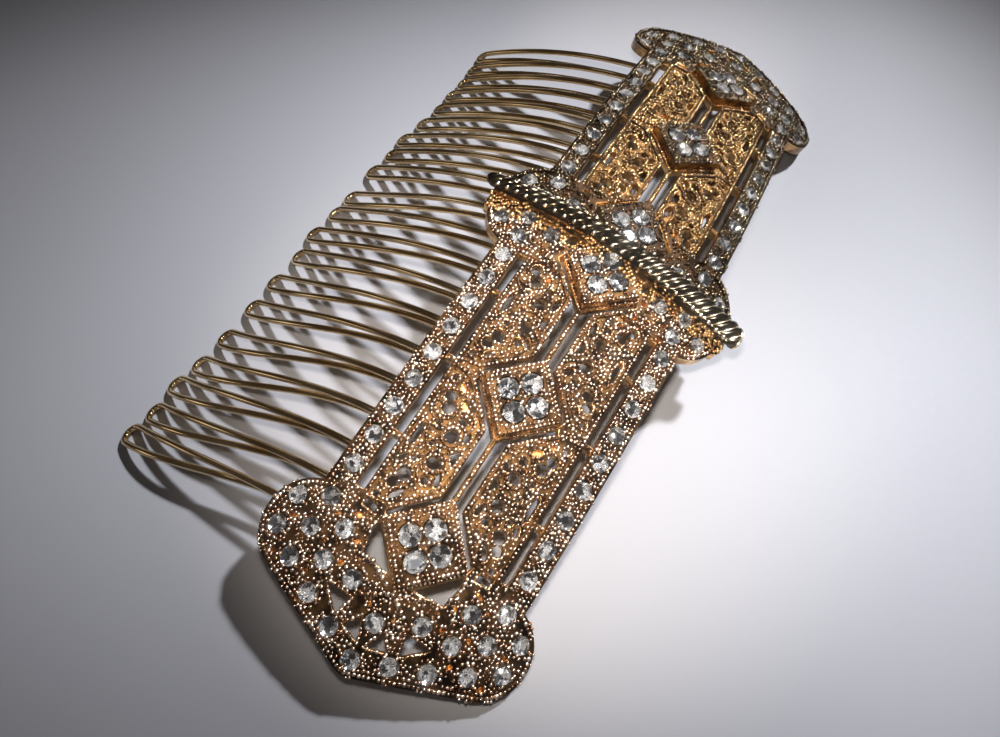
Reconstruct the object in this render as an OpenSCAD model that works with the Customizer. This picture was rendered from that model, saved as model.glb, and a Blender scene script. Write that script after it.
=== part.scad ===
/* [Ornament] */
// Distance between neighbouring stones along a border, the unit of the whole pattern
stone_pitch = 3.4; // [3.3:0.1:3.5]
// Radius of the arch along the length
arch_r = 150; // [140:5:170]
// Radius of the dome across the width
dome_r = 48; // [46:1:52]
// Thickness of the cast border metal
cast_t = 1.4; // [1.3:0.1:1.5]
// How far the filigree field lies below the border
field_drop = 0.35; // [0.3:0.05:0.4]
// Height of the beaded rails above the border
rail_rise = 0.2; // [0.15:0.05:0.25]
// Height of the diamond settings above the border
diamond_rise = 0.75; // [0.7:0.05:0.8]
// Radius of the rope moulding
rope_r = 0.88; // [0.8:0.02:0.92]
// Half the length of the rope moulding
rope_half = 16.6; // [16:0.1:17]

/* [Stones] */
// Radius of a border, rosette or lobe stone
small_stone_r = 0.95; // [0.85:0.05:0.95]
// Radius of a stone in a diamond setting
large_stone_r = 1.1; // [1:0.05:1.1]
// Gap between a stone's girdle and the wall of its seat
seat_gap = 0.1; // [0.1:0.02:0.12]

/* [Comb] */
// Number of hairpin teeth
tooth_count = 20; // [20:1:20]
// Distance between neighbouring teeth
tooth_pitch = 4.08; // [4.04:0.01:4.1]
// Diameter of the tooth wire
wire_d = 0.76; // [0.7:0.02:0.8]
// Distance between the two legs of a tooth at its tip, on the centre lines
loop_w = 2.25; // [2:0.05:2.4]
// Diameter of the hidden spine bar
bar_d = 1; // [0.9:0.1:1]
// Middle of the row of tooth roots, along the length
root_shift = 2.7; // [2:0.1:3]
// Middle of the row of tooth tips, along the length
tip_shift = 4.3; // [4:0.1:5]
// How far the tooth tips reach from the middle of the ornament
tip_reach = 38.8; // [37:0.1:40]

/* [Pose on the table] */
// Tilt of the ornament about its long axis, the edge away from the teeth down
tilt = 12; // [11:0.5:13]

/* [Hidden] */
HALVES = ["near", "far"];
DIAMONDS = [1, 2, 3];
CLUSTER = [1, 2, 3, 4];
function diamond_stone_name(half, d, n) = str(half, "_diamond_", d, "_stone_", n);
function tooth_name(i) = str("tooth_", i < 10 ? "0" : "", i);

// Places in the pattern are in stone pitches: u along the length from the rope, v across it.
border_stones = 9;
first_stone_u = 2.2;
row_v = 3.03;
body_v = 3.44;
diamond_u = [1.06, 5.98, 10.93];
diamond_q = 1.36;
cluster_u = 0.5;
rosette_u = 12.32;
rosette_v = 3.02;
rosette_ring = 1;
lobe_r = 1.4;
apex_u = 14.25;
apex_r = 0.75;
mid_lobe_u = 0.25;
mid_lobe_v = 2.9;
mid_lobe_r = 1.6;
horn_u = 0.75;
horn_v = 4.62;
slot_in = 1.5;
slot_out = 1.72;
bracket_top = 0.09;
bracket_low = 0.36;
bracket_end = 1.4;
frame_top = 0.38;
frame_side = 0.06;
frame_corner = 0.16;
scroll_r = 0.34;
field_start = 1.8;
field_end = 10.62;
field_v = 2.33;
slot_v = 2.6;
rail_w = 0.14;
rail_setback = 0.02;
edge_rail = 0.15;
web_half = 0.17;
web_rise = 0.6;
web_root = 0.9;
diamond_start = 0.16;
far_gap = 0.1;
deep = 60;
// Half the length and half the width of the domed blank, and its depth
blank_half = [60, 20];
blank_depth = 8;
smooth = 64;
small_smooth = 24;

// Columns: u, v, of one side; the pattern is mirrored across v = 0.
mid_lobe_stones = [[0.72, 2.1], [1.33, 2.98], [0.53, 3.07], [0.93, 3.88]];
// Columns: u, v of the stones along the end edge on one side.
edge_stones = [[14.18, 1], [13.79, 2]];
apex_stone = [14.57, 0];
petal_stones = [[13.42, 0], [12.8, 1.16], [12.8, -1.16]];
// Columns: p along the cartouche from its middle, v, radius of a round opening.
eyes = [[0.45, 1.1, 0.21], [0.98, 1.05, 0.13], [1.12, 1.64, 0.21], [1.46, 1.8, 0.18]];
// Openings in the middle of a cartouche, as corners p, v: a leaf near the axis and a low crescent.
middle_openings = [
    [[-0.3, 0.6], [0.3, 0.6], [0, 0.88]],
    [[-0.42, 2], [-0.16, 1.9], [0.16, 1.9], [0.42, 2], [0.3, 2.08], [-0.3, 2.08]]
];
// Slots between the filigree and the border, from one u to the next.
border_slots = [[1.86, 3.3], [3.5, 5.88], [6.08, 8.65], [8.85, 10.55]];
// Openings of the fan at the end, as corners u, v.
fan_openings = [
    [[14.1, 0.12], [13.9, 0.72], [13.46, 0.38]],
    [[13.82, 1.05], [13.2, 0.92], [13.18, 1.4], [13.2, 1.72]],
    [[12.14, 0.4], [12.02, 1.36], [11.3, 1.5], [11.06, 1.42]],
    [[10.98, 1.7], [10.74, 1.74], [10.7, 2.14], [10.94, 2.12]]
];
// Openings beside the rope, as corners u, v.
mid_openings = [
    [[0.3, 1.22], [0.3, 1.5], [0.7, 1.6], [0.72, 1.32]],
    [[0.3, 2.28], [0.34, 2.56], [0.42, 2.5], [0.36, 2.26]]
];
// Palmette petals as corners u, v of kites, raised like the rails.
petals = [
    [[12.7, 0], [13.4, 0.36], [14.12, 0], [13.4, -0.36]],
    [[12.6, 0.3], [13.16, 1.1], [12.9, 1.6], [12.5, 1.2]],
    [[12.6, -0.3], [12.5, -1.2], [12.9, -1.6], [13.16, -1.1]]
];
// Hand-bent teeth, from the near end on. Columns: sideways lean of the tip, extra reach of the tip.
tooth_bends = [
    [0, 0.3], [0.7, -0.1], [0.9, 0.3], [1.5, -0.2], [1.2, -0.3], [0.2, -0.2], [-0.2, 0],
    [-1, -0.1], [-0.8, 0.6], [-1.1, 0.3], [-0.3, 0.2], [-1.8, 0.5], [-1.7, 0.1], [-1, 0.4],
    [-1.1, -0.2], [-1, -0.6], [-0.3, -0.5], [0.5, -0.6], [1.2, -0.3], [1.9, 0.1]
];

// Turns an arc length into the distance along the chord.
function along(u) = arch_r * sin(deg(u));
function deg(length) = length / arch_r * 180 / PI;
function tangent_normal(a, ra, b, rb) =
    let (d = b - a, l = norm(d), e = d / l, c = (ra - rb) / l, s = sqrt(1 - c * c))
    [c * e[0] + s * e[1], c * e[1] - s * e[0]];
function flat(p) = [along(p[0] * stone_pitch), p[1] * stone_pitch];
function flat_all(points) = [for (p = points) flat(p)];
function mirror_v(points) = [for (p = points) [p[0], -p[1]]];
function strip(u0, u1, v0, v1) = flat_all([[u0, v0], [u1, v0], [u1, v1], [u0, v1]]);

module mirrored_v() {
    children();
    mirror([0, 1, 0]) children();
}

// A layer of the cast shell between two heights above the border's surface.
module shell(low, high) {
    translate([0, 0, -arch_r])
    rotate([90, 0, 0])
    rotate([0, 0, 90 - deg(blank_half[0])])
    rotate_extrude(angle = 2 * deg(blank_half[0]), $fn = 256)
    translate([arch_r - dome_r, 0])
    intersection() {
        difference() {
            circle(r = dome_r + high, $fn = 128);
            circle(r = dome_r + low, $fn = 128);
        }
        translate([dome_r - blank_depth, -blank_half[1]]) square(2 * [blank_depth, blank_half[1]]);
    }
}

module layer(low, high) {
    intersection() {
        translate([0, 0, -deep / 2]) linear_extrude(deep) children();
        shell(low, high);
    }
}

// Carries its children to a point of the domed surface, standing on it.
module on_dome(p) {
    translate([0, 0, -arch_r])
    rotate([0, deg(p[0] * stone_pitch), 0])
    translate([0, 0, arch_r - dome_r])
    rotate([-p[1] * stone_pitch / dome_r * 180 / PI, 0, 0])
    translate([0, 0, dome_r])
    children();
}

// The pose on the table: tilted about the long axis until the outer edge of a rosette lobe touches,
// and shifted so that the whole comb is centred.
function tilted(p) = [p[0], p[1] * cos(tilt) + p[2] * sin(tilt) + centre_shift,
                      -p[1] * sin(tilt) + p[2] * cos(tilt) + ridge_h];
function underside(x, y) =
    let (r = arch_r - dome_r + sqrt(pow(dome_r - cast_t, 2) - y * y))
    sqrt(r * r - x * x) - arch_r;
lobe_edge = [for (a = [0:2:358]) flat([rosette_u, rosette_v]) + lobe_r * stone_pitch * [cos(a), sin(a)]];
ridge_h = max([for (p = lobe_edge) p[1] * sin(tilt) - underside(p[0], p[1]) * cos(tilt)]);
rope_gap = 0.05;
rope_lift = web_rise + rope_r + rope_gap;
rope_angle = rope_half / dome_r * 180 / PI;
rope_end = (dome_r + rope_lift) * [sin(rope_angle), cos(rope_angle)] - [0, dome_r];
longest_reach = tip_reach + max([for (b = tooth_bends) b[1]]);
centre_shift = (longest_reach - rope_end[0] * cos(tilt) - rope_end[1] * sin(tilt) - rope_r) / 2;

module on_table() {
    translate([0, centre_shift, ridge_h]) rotate([-tilt, 0, 0]) children();
}

module half_outline(inset = 0) {
    ra = (apex_r - inset) * stone_pitch;
    rl = (lobe_r - inset) * stone_pitch;
    a = flat([apex_u, 0]);
    b = flat([rosette_u, rosette_v]);
    n = tangent_normal(a, ra, b, rl);
    body = (body_v - inset) * stone_pitch;
    web = web_half * stone_pitch;
    translate([-web, -body]) square([b[0] + web, 2 * body]);
    translate(a) circle(r = ra, $fn = smooth);
    mirrored_v() {
        translate(b) circle(r = rl, $fn = smooth);
        polygon([[b[0], 0], a, a + n * ra, b + n * rl, b]);
        translate(flat([mid_lobe_u, mid_lobe_v])) circle(r = (mid_lobe_r - inset) * stone_pitch, $fn = smooth);
        square([(horn_u - inset) * stone_pitch, (horn_v - inset) * stone_pitch]);
    }
}

module cut_to_half(start) {
    intersection() {
        children();
        translate([start, -deep / 2]) square([deep, deep]);
    }
}

// The middle of each cartouche, between two diamonds.
cartouche_u = [for (j = [0, 1]) (diamond_u[j] + diamond_u[j + 1]) / 2];
diamond_step = diamond_u[1] - diamond_u[0];

// Where a line parallel to a diamond's edge, at a distance from its centre, crosses v.
function slant(distance, v) = diamond_step / 2 - distance + v;
function flip_p(p) = [-p[0], p[1]];
function cartouche_corners(inset) =
    let (
        top = frame_top + inset,
        low = field_v - inset,
        side = slot_out + inset * sqrt(2),
        corner = [diamond_step / 2 - frame_corner - inset, side - frame_corner - inset],
        foot = diamond_step / 2 - frame_side - inset
    )
    [[-slant(side, top), top], [slant(side, top), top], corner,
     [foot, low], [-foot, low], [-corner[0], corner[1]]];

function bracket_slot() =
    let (
        wall = [for (v = [bracket_end, bracket_top]) [slant(slot_in, v), v]],
        lip = [for (v = [bracket_low, bracket_end + frame_side]) [slant(slot_out, v), v]]
    )
    [wall[0], wall[1], flip_p(wall[1]), flip_p(wall[0]), flip_p(lip[1]), flip_p(lip[0]), lip[0], lip[1]];

module at_cartouches() {
    mirrored_v() for (u = cartouche_u) translate([along(u * stone_pitch), 0]) children();
}

module openings() {
    at_cartouches() {
        polygon(stone_pitch * bracket_slot());
        for (e = eyes, side = [-1, 1]) {
            translate(stone_pitch * [side * e[0], e[1]]) circle(r = e[2] * stone_pitch, $fn = small_smooth);
        }
        for (points = middle_openings) polygon(stone_pitch * points);
    }
    mirrored_v() {
        for (ends = border_slots) polygon(strip(ends[0], ends[1], field_v, slot_v));
        for (points = concat(fan_openings, mid_openings)) polygon(flat_all(points));
    }
}

module rails() {
    difference() {
        half_outline();
        half_outline(edge_rail);
    }
    mirrored_v() {
        polygon(strip(field_start, field_end, slot_v + rail_setback, slot_v + rail_w));
    }
    for (points = petals) polygon(flat_all(points));
}

module cartouche_frames() {
    at_cartouches() {
        difference() {
            polygon(stone_pitch * cartouche_corners(0));
            polygon(stone_pitch * cartouche_corners(rail_w));
        }
        for (side = [-1, 1]) {
            translate(stone_pitch * [side * eyes[0][0], eyes[0][1]])
                circle(r = scroll_r * stone_pitch, $fn = small_smooth);
        }
    }
}

module field() {
    polygon(strip(field_start, field_end, -slot_v, slot_v));
}

module diamond_squares() {
    for (u = diamond_u) {
        translate([along(u * stone_pitch), 0]) rotate([0, 0, 45])
            square(diamond_q * stone_pitch * sqrt(2), center = true);
    }
}

function small_places() = concat(border_places(), end_places());
function both_sides(points) = concat(points, mirror_v(points));
function border_places() =
    both_sides(concat([for (i = [0:border_stones - 1]) [first_stone_u + i, row_v]], mid_lobe_stones));
function rosette_places() = concat(
    [[rosette_u, rosette_v]],
    [for (a = [0:60:300]) [rosette_u + rosette_ring * cos(a), rosette_v + rosette_ring * sin(a)]]
);
function end_places() = concat(both_sides(concat(rosette_places(), edge_stones)), [apex_stone], petal_stones);
function cluster_places(u) = [[u - cluster_u, 0], [u, cluster_u], [u + cluster_u, 0], [u, -cluster_u]];

module seat(r) {
    translate([0, 0, girdle_lift - pavilion * r - seat_gap])
        cylinder(r = r + seat_gap, h = 2 * r, $fn = small_smooth);
}

module seats() {
    for (p = small_places()) on_dome(p) seat(small_stone_r);
    for (u = diamond_u, p = cluster_places(u)) on_dome(p) translate([0, 0, diamond_rise]) seat(large_stone_r);
}

module half_plate(start) {
    difference() {
        union() {
            layer(-cast_t, -field_drop) cut_to_half(start) difference() { half_outline(); openings(); }
            layer(-cast_t, 0) cut_to_half(start) difference() { half_outline(); openings(); field(); }
            layer(-cast_t, rail_rise) cut_to_half(start) difference() { rails(); openings(); }
            layer(-cast_t, -field_drop + rail_rise) difference() { cartouche_frames(); openings(); }
            layer(-cast_t, diamond_rise) cut_to_half(max(start, diamond_start * stone_pitch)) diamond_squares();
        }
        seats();
    }
}

module near_plate() {
    web = [web_half * stone_pitch, horn_v * stone_pitch];
    color("goldenrod") on_table() {
        half_plate(-web[0]);
        layer(-web_root, web_rise) translate(-web) square(2 * web);
    }
}

module far_plate() {
    color("darkgoldenrod") on_table() mirror([1, 0, 0]) half_plate(web_half * stone_pitch + far_gap);
}

// The rope is a row of overlapping rounds along the dome.
rope_turns = 21;
module rope_ridge() {
    color("peru") on_table() {
        for (i = [0:rope_turns]) {
            on_dome([0, (i / rope_turns * 2 - 1) * rope_half / stone_pitch]) translate([0, 0, rope_lift])
                sphere(r = rope_r, $fn = small_smooth);
        }
    }
}

// A round brilliant: a table, eight crown facets and eight pavilion facets.
table_share = 0.58;
crown = 0.34;
pavilion = 0.72;
girdle_lift = 0.08;
module brilliant(r) {
    table = [for (a = [0:45:315]) r * [table_share * cos(a), table_share * sin(a), crown]];
    girdle = [for (a = [0:45:315]) r * [cos(a), sin(a), 0]];
    polyhedron(
        points = concat(table, girdle, [[0, 0, -pavilion * r]]),
        faces = concat(
            [[for (k = [7:-1:0]) k]],
            [for (k = [0:7]) [k, (k + 1) % 8, 8 + (k + 1) % 8, 8 + k]],
            [for (k = [0:7]) [8 + k, 8 + (k + 1) % 8, 16]]
        )
    );
}

module stone_field(places) {
    for (p = places) on_dome(p) translate([0, 0, girdle_lift]) brilliant(small_stone_r);
}

module half_of(half) {
    on_table() mirror([half == "far" ? 1 : 0, 0, 0]) children();
}

module border_stones_of(half) {
    color("lightcyan") half_of(half) stone_field(border_places());
}

module end_stones_of(half) {
    color("lightcyan") half_of(half) stone_field(end_places());
}

module diamond_stone(half, d, n) {
    p = cluster_places(diamond_u[d - 1])[n - 1];
    color("azure") half_of(half) on_dome(p) translate([0, 0, diamond_rise + girdle_lift])
        brilliant(large_stone_r);
}

// The comb: its bar runs under the border beside the teeth, and each tooth hooks round the bar.
bar_y = -10.6;
wire_gap = 0.08;
hook_r = bar_d / 2 + wire_gap + wire_d / 2;
bar_z = sqrt(pow(dome_r - cast_t, 2) - bar_y * bar_y) - dome_r - 2 * wire_gap - hook_r - wire_d / 2;
bar_reach = [-39, 45];
post_d = 1.3;
post_gap = 0.2;
post_places = [2.5, 7.5, 12.5, 17.5];

function place(i) = ((tooth_count + 1) / 2 - i) * tooth_pitch;

module spine_bar() {
    color("darkkhaki") on_table() translate([0, bar_y, -arch_r]) {
        rotate([90, 0, 0]) rotate([0, 0, 90 - deg(bar_reach[1])])
            rotate_extrude(angle = deg(bar_reach[1] - bar_reach[0]), $fn = 256)
            translate([arch_r + bar_z, 0]) circle(d = bar_d, $fn = small_smooth);
        for (i = post_places) {
            rotate([0, deg(root_shift + place(i)), 0]) translate([0, 0, arch_r + bar_z])
                cylinder(d = post_d, h = hook_r + wire_d / 2 - post_gap / 2, $fn = small_smooth);
        }
    }
}

tip_slope = 28;
tip_pull = 9;
root_slope = 6;
root_pull = 9;
leg_steps = 8;
sides = 6;

function bezier(a, b, c, d, t) =
    pow(1 - t, 3) * a + 3 * t * pow(1 - t, 2) * b + 3 * t * t * (1 - t) * c + pow(t, 3) * d;
function leg(tip, root) =
    let (
        rise = tip + tip_pull * [0, cos(tip_slope), sin(tip_slope)],
        lead = root - root_pull * [0, cos(root_slope), sin(root_slope)]
    )
    [for (k = [1:leg_steps]) bezier(tip, rise, lead, root, k / (leg_steps + 1))];

// Points of one tooth's closed loop: round the tip, up the far leg, round the bar and back.
function tooth_path(i) =
    let (
        half = loop_w / 2,
        bend = tooth_bends[i - 1],
        tip_y = centre_shift - tip_reach - bend[1] + half * cos(tip_slope) + wire_d / 2,
        tip = [tip_shift + place(i) + bend[0], tip_y, wire_d / 2 + half * sin(tip_slope)],
        u = root_shift + place(i),
        root = tilted([(arch_r + bar_z) * sin(deg(u)), bar_y, (arch_r + bar_z) * cos(deg(u)) - arch_r]),
        up = hook_r * [sin(deg(u)), 0, cos(deg(u))],
        far_leg = leg(tip - [half, 0, 0], root + up),
        near_leg = leg(tip + [half, 0, 0], root - up)
    )
    concat(
        [for (a = [0:30:180]) tip + half * [cos(a), -sin(a) * cos(tip_slope), -sin(a) * sin(tip_slope)]],
        far_leg,
        [for (a = [90:-30:-90]) root + cos(a) * [0, hook_r, 0] + sin(a) * up],
        [for (k = [leg_steps - 1:-1:0]) near_leg[k]]
    );
function unit(p) = p / norm(p);
function ring(path, k) =
    let (
        n = len(path),
        t = unit(path[(k + 1) % n] - path[(k + n - 1) % n]),
        a = unit(cross(t, [1, 0, 1])),
        b = cross(t, a)
    )
    [for (s = [0:sides - 1]) path[k] + wire_d / 2 * (a * cos(s * 360 / sides) + b * sin(s * 360 / sides))];

module closed_tube(path) {
    n = len(path);
    polyhedron(
        points = [for (k = [0:n - 1]) each ring(path, k)],
        faces = [for (k = [0:n - 1], s = [0:sides - 1])
            let (
                a = k * sides + s,
                b = k * sides + (s + 1) % sides,
                c = ((k + 1) % n) * sides + (s + 1) % sides,
                d = ((k + 1) % n) * sides + s
            )
            each [[a, c, b], [a, d, c]]]
    );
}

module tooth(i) {
    color("khaki") closed_tube(tooth_path(i));
}

near_plate();
far_plate();
rope_ridge();
for (h = HALVES, d = DIAMONDS, n = CLUSTER)
    diamond_stone(h, d, n);
for (h = HALVES) border_stones_of(h);
for (h = HALVES) end_stones_of(h);
spine_bar();
for (i = [1:tooth_count]) tooth(i);
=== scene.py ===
"""A bridal hair comb: a domed cast ornament of two mirrored halves, pierced and grained, set with
round stones and crossed by a twisted rope, on a row of hairpin wire teeth. It lies on a pale table."""

import math
import random

import bpy
import numpy as np
from mathutils import Matrix, Vector
from mathutils.geometry import delaunay_2d_cdt


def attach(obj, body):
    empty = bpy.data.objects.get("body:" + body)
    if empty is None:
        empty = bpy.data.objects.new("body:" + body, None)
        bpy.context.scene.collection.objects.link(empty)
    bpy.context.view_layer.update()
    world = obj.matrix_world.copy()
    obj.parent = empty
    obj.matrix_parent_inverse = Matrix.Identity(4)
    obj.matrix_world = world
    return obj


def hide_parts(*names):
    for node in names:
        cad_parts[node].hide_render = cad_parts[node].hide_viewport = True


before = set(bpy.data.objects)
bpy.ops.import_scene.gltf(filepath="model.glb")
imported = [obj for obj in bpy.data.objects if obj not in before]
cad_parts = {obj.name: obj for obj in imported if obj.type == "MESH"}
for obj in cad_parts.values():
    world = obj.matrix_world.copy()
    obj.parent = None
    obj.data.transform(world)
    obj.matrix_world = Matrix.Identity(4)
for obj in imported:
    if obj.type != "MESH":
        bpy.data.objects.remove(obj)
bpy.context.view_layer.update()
random.seed(7)
rng = np.random.default_rng(7)

# Sizes of the comb in mm. Places in the pattern are in stone pitches, u along the length from the rope
# and v across it.
MM = 0.001
PITCH = 3.4
ARCH_R = 150.0
DOME_R = 48.0
CAST_T = 1.4
FIELD_DROP = 0.35
RAIL_RISE = 0.2
DIAMOND_RISE = 0.75
PIT_FLOOR = 1.05
SMALL_STONE_R = 0.95
LARGE_STONE_R = 1.1
SEAT_GAP = 0.1
GIRDLE_LIFT = 0.08
TILT = math.radians(12)

BORDER_STONES = 9
FIRST_STONE_U = 2.2
ROW_V = 3.03
BODY_V = 3.44
DIAMOND_U = (1.06, 5.98, 10.93)
DIAMOND_Q = 1.36
CLUSTER_U = 0.5
ROSETTE = (12.32, 3.02)
ROSETTE_RING = 1.0
LOBE_R = 1.4
APEX_U = 14.25
APEX_R = 0.75
MID_LOBE = (0.25, 2.9)
MID_LOBE_R = 1.6
HORN = (0.75, 4.62)
HORN_ROUND = 0.65
SLOT_IN = 1.5
SLOT_OUT = 1.72
BRACKET_TOP = 0.09
BRACKET_LOW = 0.36
BRACKET_END = 1.4
FRAME_TOP = 0.38
FRAME_SIDE = 0.06
FRAME_CORNER = 0.16
SCROLL_R = 0.34
FIELD_START = 1.8
FIELD_END = 10.62
FIELD_V = 2.33
SLOT_V = 2.6
RAIL_W = 0.14
RAIL_SETBACK = 0.02
EDGE_RAIL = 0.15
WEB_HALF = 0.17
WEB_RISE = 0.6
WEB_ROOT = 0.9
DIAMOND_START = 0.16
FAR_GAP = 0.1

# Columns: u, v on one side; the pattern is mirrored across v = 0.
MID_LOBE_STONES = [[0.72, 2.1], [1.33, 2.98], [0.53, 3.07], [0.93, 3.88]]
EDGE_STONES = [[14.18, 1], [13.79, 2]]
APEX_STONE = [14.57, 0]
PETAL_STONES = [[13.42, 0], [12.8, 1.16], [12.8, -1.16]]
# Columns: p along the cartouche from its middle, v, radius.
EYES = [[0.45, 1.1, 0.21], [0.98, 1.05, 0.13], [1.12, 1.64, 0.21], [1.46, 1.8, 0.18]]
# Small drilled eyes that stay below the solid model's scale. Columns: p, v, radius.
FINE_EYES = [[0, 1.46, 0.08], [0.62, 1.66, 0.09], [1.98, 1.98, 0.1]]
MIDDLE_OPENINGS = [
    [[-0.3, 0.6], [0.3, 0.6], [0, 0.88]],
    [[-0.42, 2], [-0.16, 1.9], [0.16, 1.9], [0.42, 2], [0.3, 2.08], [-0.3, 2.08]],
]
BORDER_SLOTS = [[1.86, 3.3], [3.5, 5.88], [6.08, 8.65], [8.85, 10.55]]
FAN_OPENINGS = [
    [[14.1, 0.12], [13.9, 0.72], [13.46, 0.38]],
    [[13.82, 1.05], [13.2, 0.92], [13.18, 1.4], [13.2, 1.72]],
    [[12.14, 0.4], [12.02, 1.36], [11.3, 1.5], [11.06, 1.42]],
    [[10.98, 1.7], [10.74, 1.74], [10.7, 2.14], [10.94, 2.12]],
]
MID_OPENINGS = [
    [[0.3, 1.22], [0.3, 1.5], [0.7, 1.6], [0.72, 1.32]],
    [[0.3, 2.28], [0.34, 2.56], [0.42, 2.5], [0.36, 2.26]],
]
PETALS = [
    [[12.7, 0], [13.4, 0.36], [14.12, 0], [13.4, -0.36]],
    [[12.6, 0.3], [13.16, 1.1], [12.9, 1.6], [12.5, 1.2]],
    [[12.6, -0.3], [12.5, -1.2], [12.9, -1.6], [13.16, -1.1]],
]

# Large beads in an arm from the palmette's heart to its flank.
PALMETTE_ARM = [[12.97, -0.74], [12.62, -0.2], [12.36, 0.36], [12.06, 1.02], [11.66, 1.55]]
ARM_STEP = 0.6
ARM_GRAIN_R = 0.27

# The comb's wire.
TOOTH_COUNT = 20
TOOTH_PITCH = 4.08
WIRE_R = 0.38
LOOP_HALF = 1.125
ROOT_SHIFT = 2.7
TIP_SHIFT = 4.3
TIP_REACH = 38.8
BAR_Y = -10.6
HOOK_R = 0.96
BAR_GAP = 0.16
BAR_Z = math.sqrt((DOME_R - CAST_T) ** 2 - BAR_Y ** 2) - DOME_R - BAR_GAP - HOOK_R - WIRE_R
TIP_SLOPE = math.radians(28)
ROOT_SLOPE = math.radians(6)
PULL = 9.0
# How each tooth is bent, from the near end on. Columns: sideways lean and extra reach of its tip.
TOOTH_BENDS = [
    [0, 0.3], [0.7, -0.1], [0.9, 0.3], [1.5, -0.2], [1.2, -0.3], [0.2, -0.2], [-0.2, 0],
    [-1, -0.1], [-0.8, 0.6], [-1.1, 0.3], [-0.3, 0.2], [-1.8, 0.5], [-1.7, 0.1], [-1, 0.4],
    [-1.1, -0.2], [-1, -0.6], [-0.3, -0.5], [0.5, -0.6], [1.2, -0.3], [1.9, 0.1],
]

# The rope: flattened strands round a core, farther apart towards its outer end, where wires lie in
# the grooves and a collar ends it. Beads stand along its sides.
# The strands are painted near-black as painted shade; the groove wires and side beads are cream, painted
# highlights.
ROPE_R = 0.88
ROPE_HALF = 16.6
ROPE_LIFT = WEB_RISE + ROPE_R + 0.05
ROPE_STEPS = 360
ROPE_STRANDS = 4
ROPE_SPREADS = [0.3, 1.12]
STRAND_R = 0.46
STRAND_END = 0.35
ROPE_CORE_R = 0.45
CORE_SHARE = 0.55
ROPE_TURN = 4.7
GROOVE_WIRE_R = 0.1
GROOVE_START = 2.0
GROOVE_SHARE = 0.8
GROOVE_OUT = 0.36
GROOVE_SINK = 0.14
ROPE_BEAD_R = 0.25
BEAD_LIFT = 0.44
BEAD_LEAN = 0.8
BEADS_BACK = 0.6
COLLAR_BACK = 0.5
COLLAR_LEAN = 0.3
COLLAR_WIDTH = 1.4
COLLAR_R = 0.84
COLLAR_WIRE_R = 0.15

# Grains, the tiny round beads along every edge. Their least distance is GRAIN_GAP of two radii, their
# uneven sizes lie within GRAIN_SIZES, and those beyond the field are END_GRAINS times as large.
GRAIN_R = 0.2
GRAIN_STEP = 0.47
GRAIN_GAP = 0.86
GRAIN_JITTER = 0.045
GRAIN_SIZES = (0.66, 1.22)
END_GRAINS = 1.12
SEAT_GRAIN_R = 0.19
SEAT_GRAINS = 15
SEAT_RIM = 0.33
PIT_GRAIN_R = 0.18
EYE_STEP = 0.44
EYE_RIM = 0.13
FILL_JITTER = 0.12
DUST_R = 0.12
PRONGS = 5
PRONG_R = 0.21
PRONG_LIFT = 0.1
PRONG_OUT = 0.04
# Rows of grains: insets of the two along the rim, v of the two beside the slots, and those round
# each diamond. Columns of the last: half width in pitches, step, radius.
RIM_ROWS = (0.11, 0.25)
SLOT_ROWS = (2.68, 2.26)
DIAMOND_ROWS = [[1.29, 0.46, 0.195], [1.13, 0.46, 0.195], [1.44, 0.4, 0.15]]
# The crowded grains that climb from the border to the foot of the rope.
FRILL_END = 2.6
FRILL_TOP = 0.85
FRILL_TRIES = 4600
FRILL_GAP = 0.24
FRILL_SIZES = (0.14, 0.26)

# A start beyond all metal, for a region that isn't cut off at the rope.
EVERYWHERE = -99
# Sides of flat loops are cut until none is longer than this.
LONGEST_SIDE = 0.6
BEVEL = 0.06
# The lowest slab is out of sight, so its bevel is small and its triangles are large.
LOW_BEVEL = 0.02
LOW_GRID = 1.6
# How far one slab of the casting laps into the next.
LAP = 0.02
# The rounded shoulder of a hollow. Columns: shares of its width and depth, from the top down.
SHOULDER = [[1.0, 0.0], [0.5, 0.134], [0.134, 0.5], [0.0, 1.0]]
SHOULDER_W = 0.14
SHOULDER_DEPTH = 0.26
# The low step beside the web.
SHELF_END = 1.4
SHELF_RISE = 0.4
# Bean-shaped blind hollows in the lace: half lengths, half widths, and the metal left between two.
# They curve round the eyes, give or take BEAN_TURN. Those wider than PIERCED_SIZE go right through.
LACE_PITS = [(0.42, 0.95), (0.24, 0.4), 0.33]
EDGE_PITS = [(0.26, 0.5), (0.17, 0.27), 0.28]
PIT_REACH = 1.6
BEAN_SIDES = 14
BEAN_TAPER = 0.35
BEAN_TURN = 0.5
LACE_TRIES = 700
END_TRIES = 220
MID_TRIES = 500
PIERCED_SIZE = 1.05
# The scroll wires round the eyes of the lace, in arcs that grow by SCROLL_SWELL.
SCROLL_RINGS = 3
SCROLL_START = 0.45
SCROLL_STEP = 0.52
SCROLL_SPANS = (1.6, 4.2)
SCROLL_SWELL = 0.35
SCROLL_WIRE_R = 0.15
SCROLL_LIFT = 0.1
LEAST_RUN = 5
# The smooth band inside the palmette's rim: where it starts, and its two insets.
BAND_START = 12.9
BAND_INSETS = (0.68, 0.84)


# ---- places on the domed and arched surface

def flat(points):
    """Pattern places in pitches as flat mm along the chord and across."""
    p = np.asarray(points, float)
    return np.stack([ARCH_R * np.sin(p[..., 0] * PITCH / ARCH_R), p[..., 1] * PITCH], -1)


def unit(v):
    return v / np.linalg.norm(v, axis=-1, keepdims=True)


def raised(xy, height):
    """Flat places lifted onto the dome, at a height above the border."""
    xy = np.asarray(xy, float)
    r = ARCH_R - DOME_R + np.sqrt((DOME_R + height) ** 2 - xy[..., 1] ** 2)
    return np.stack([xy[..., 0], xy[..., 1], np.sqrt(r ** 2 - xy[..., 0] ** 2) - ARCH_R], -1)


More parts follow.
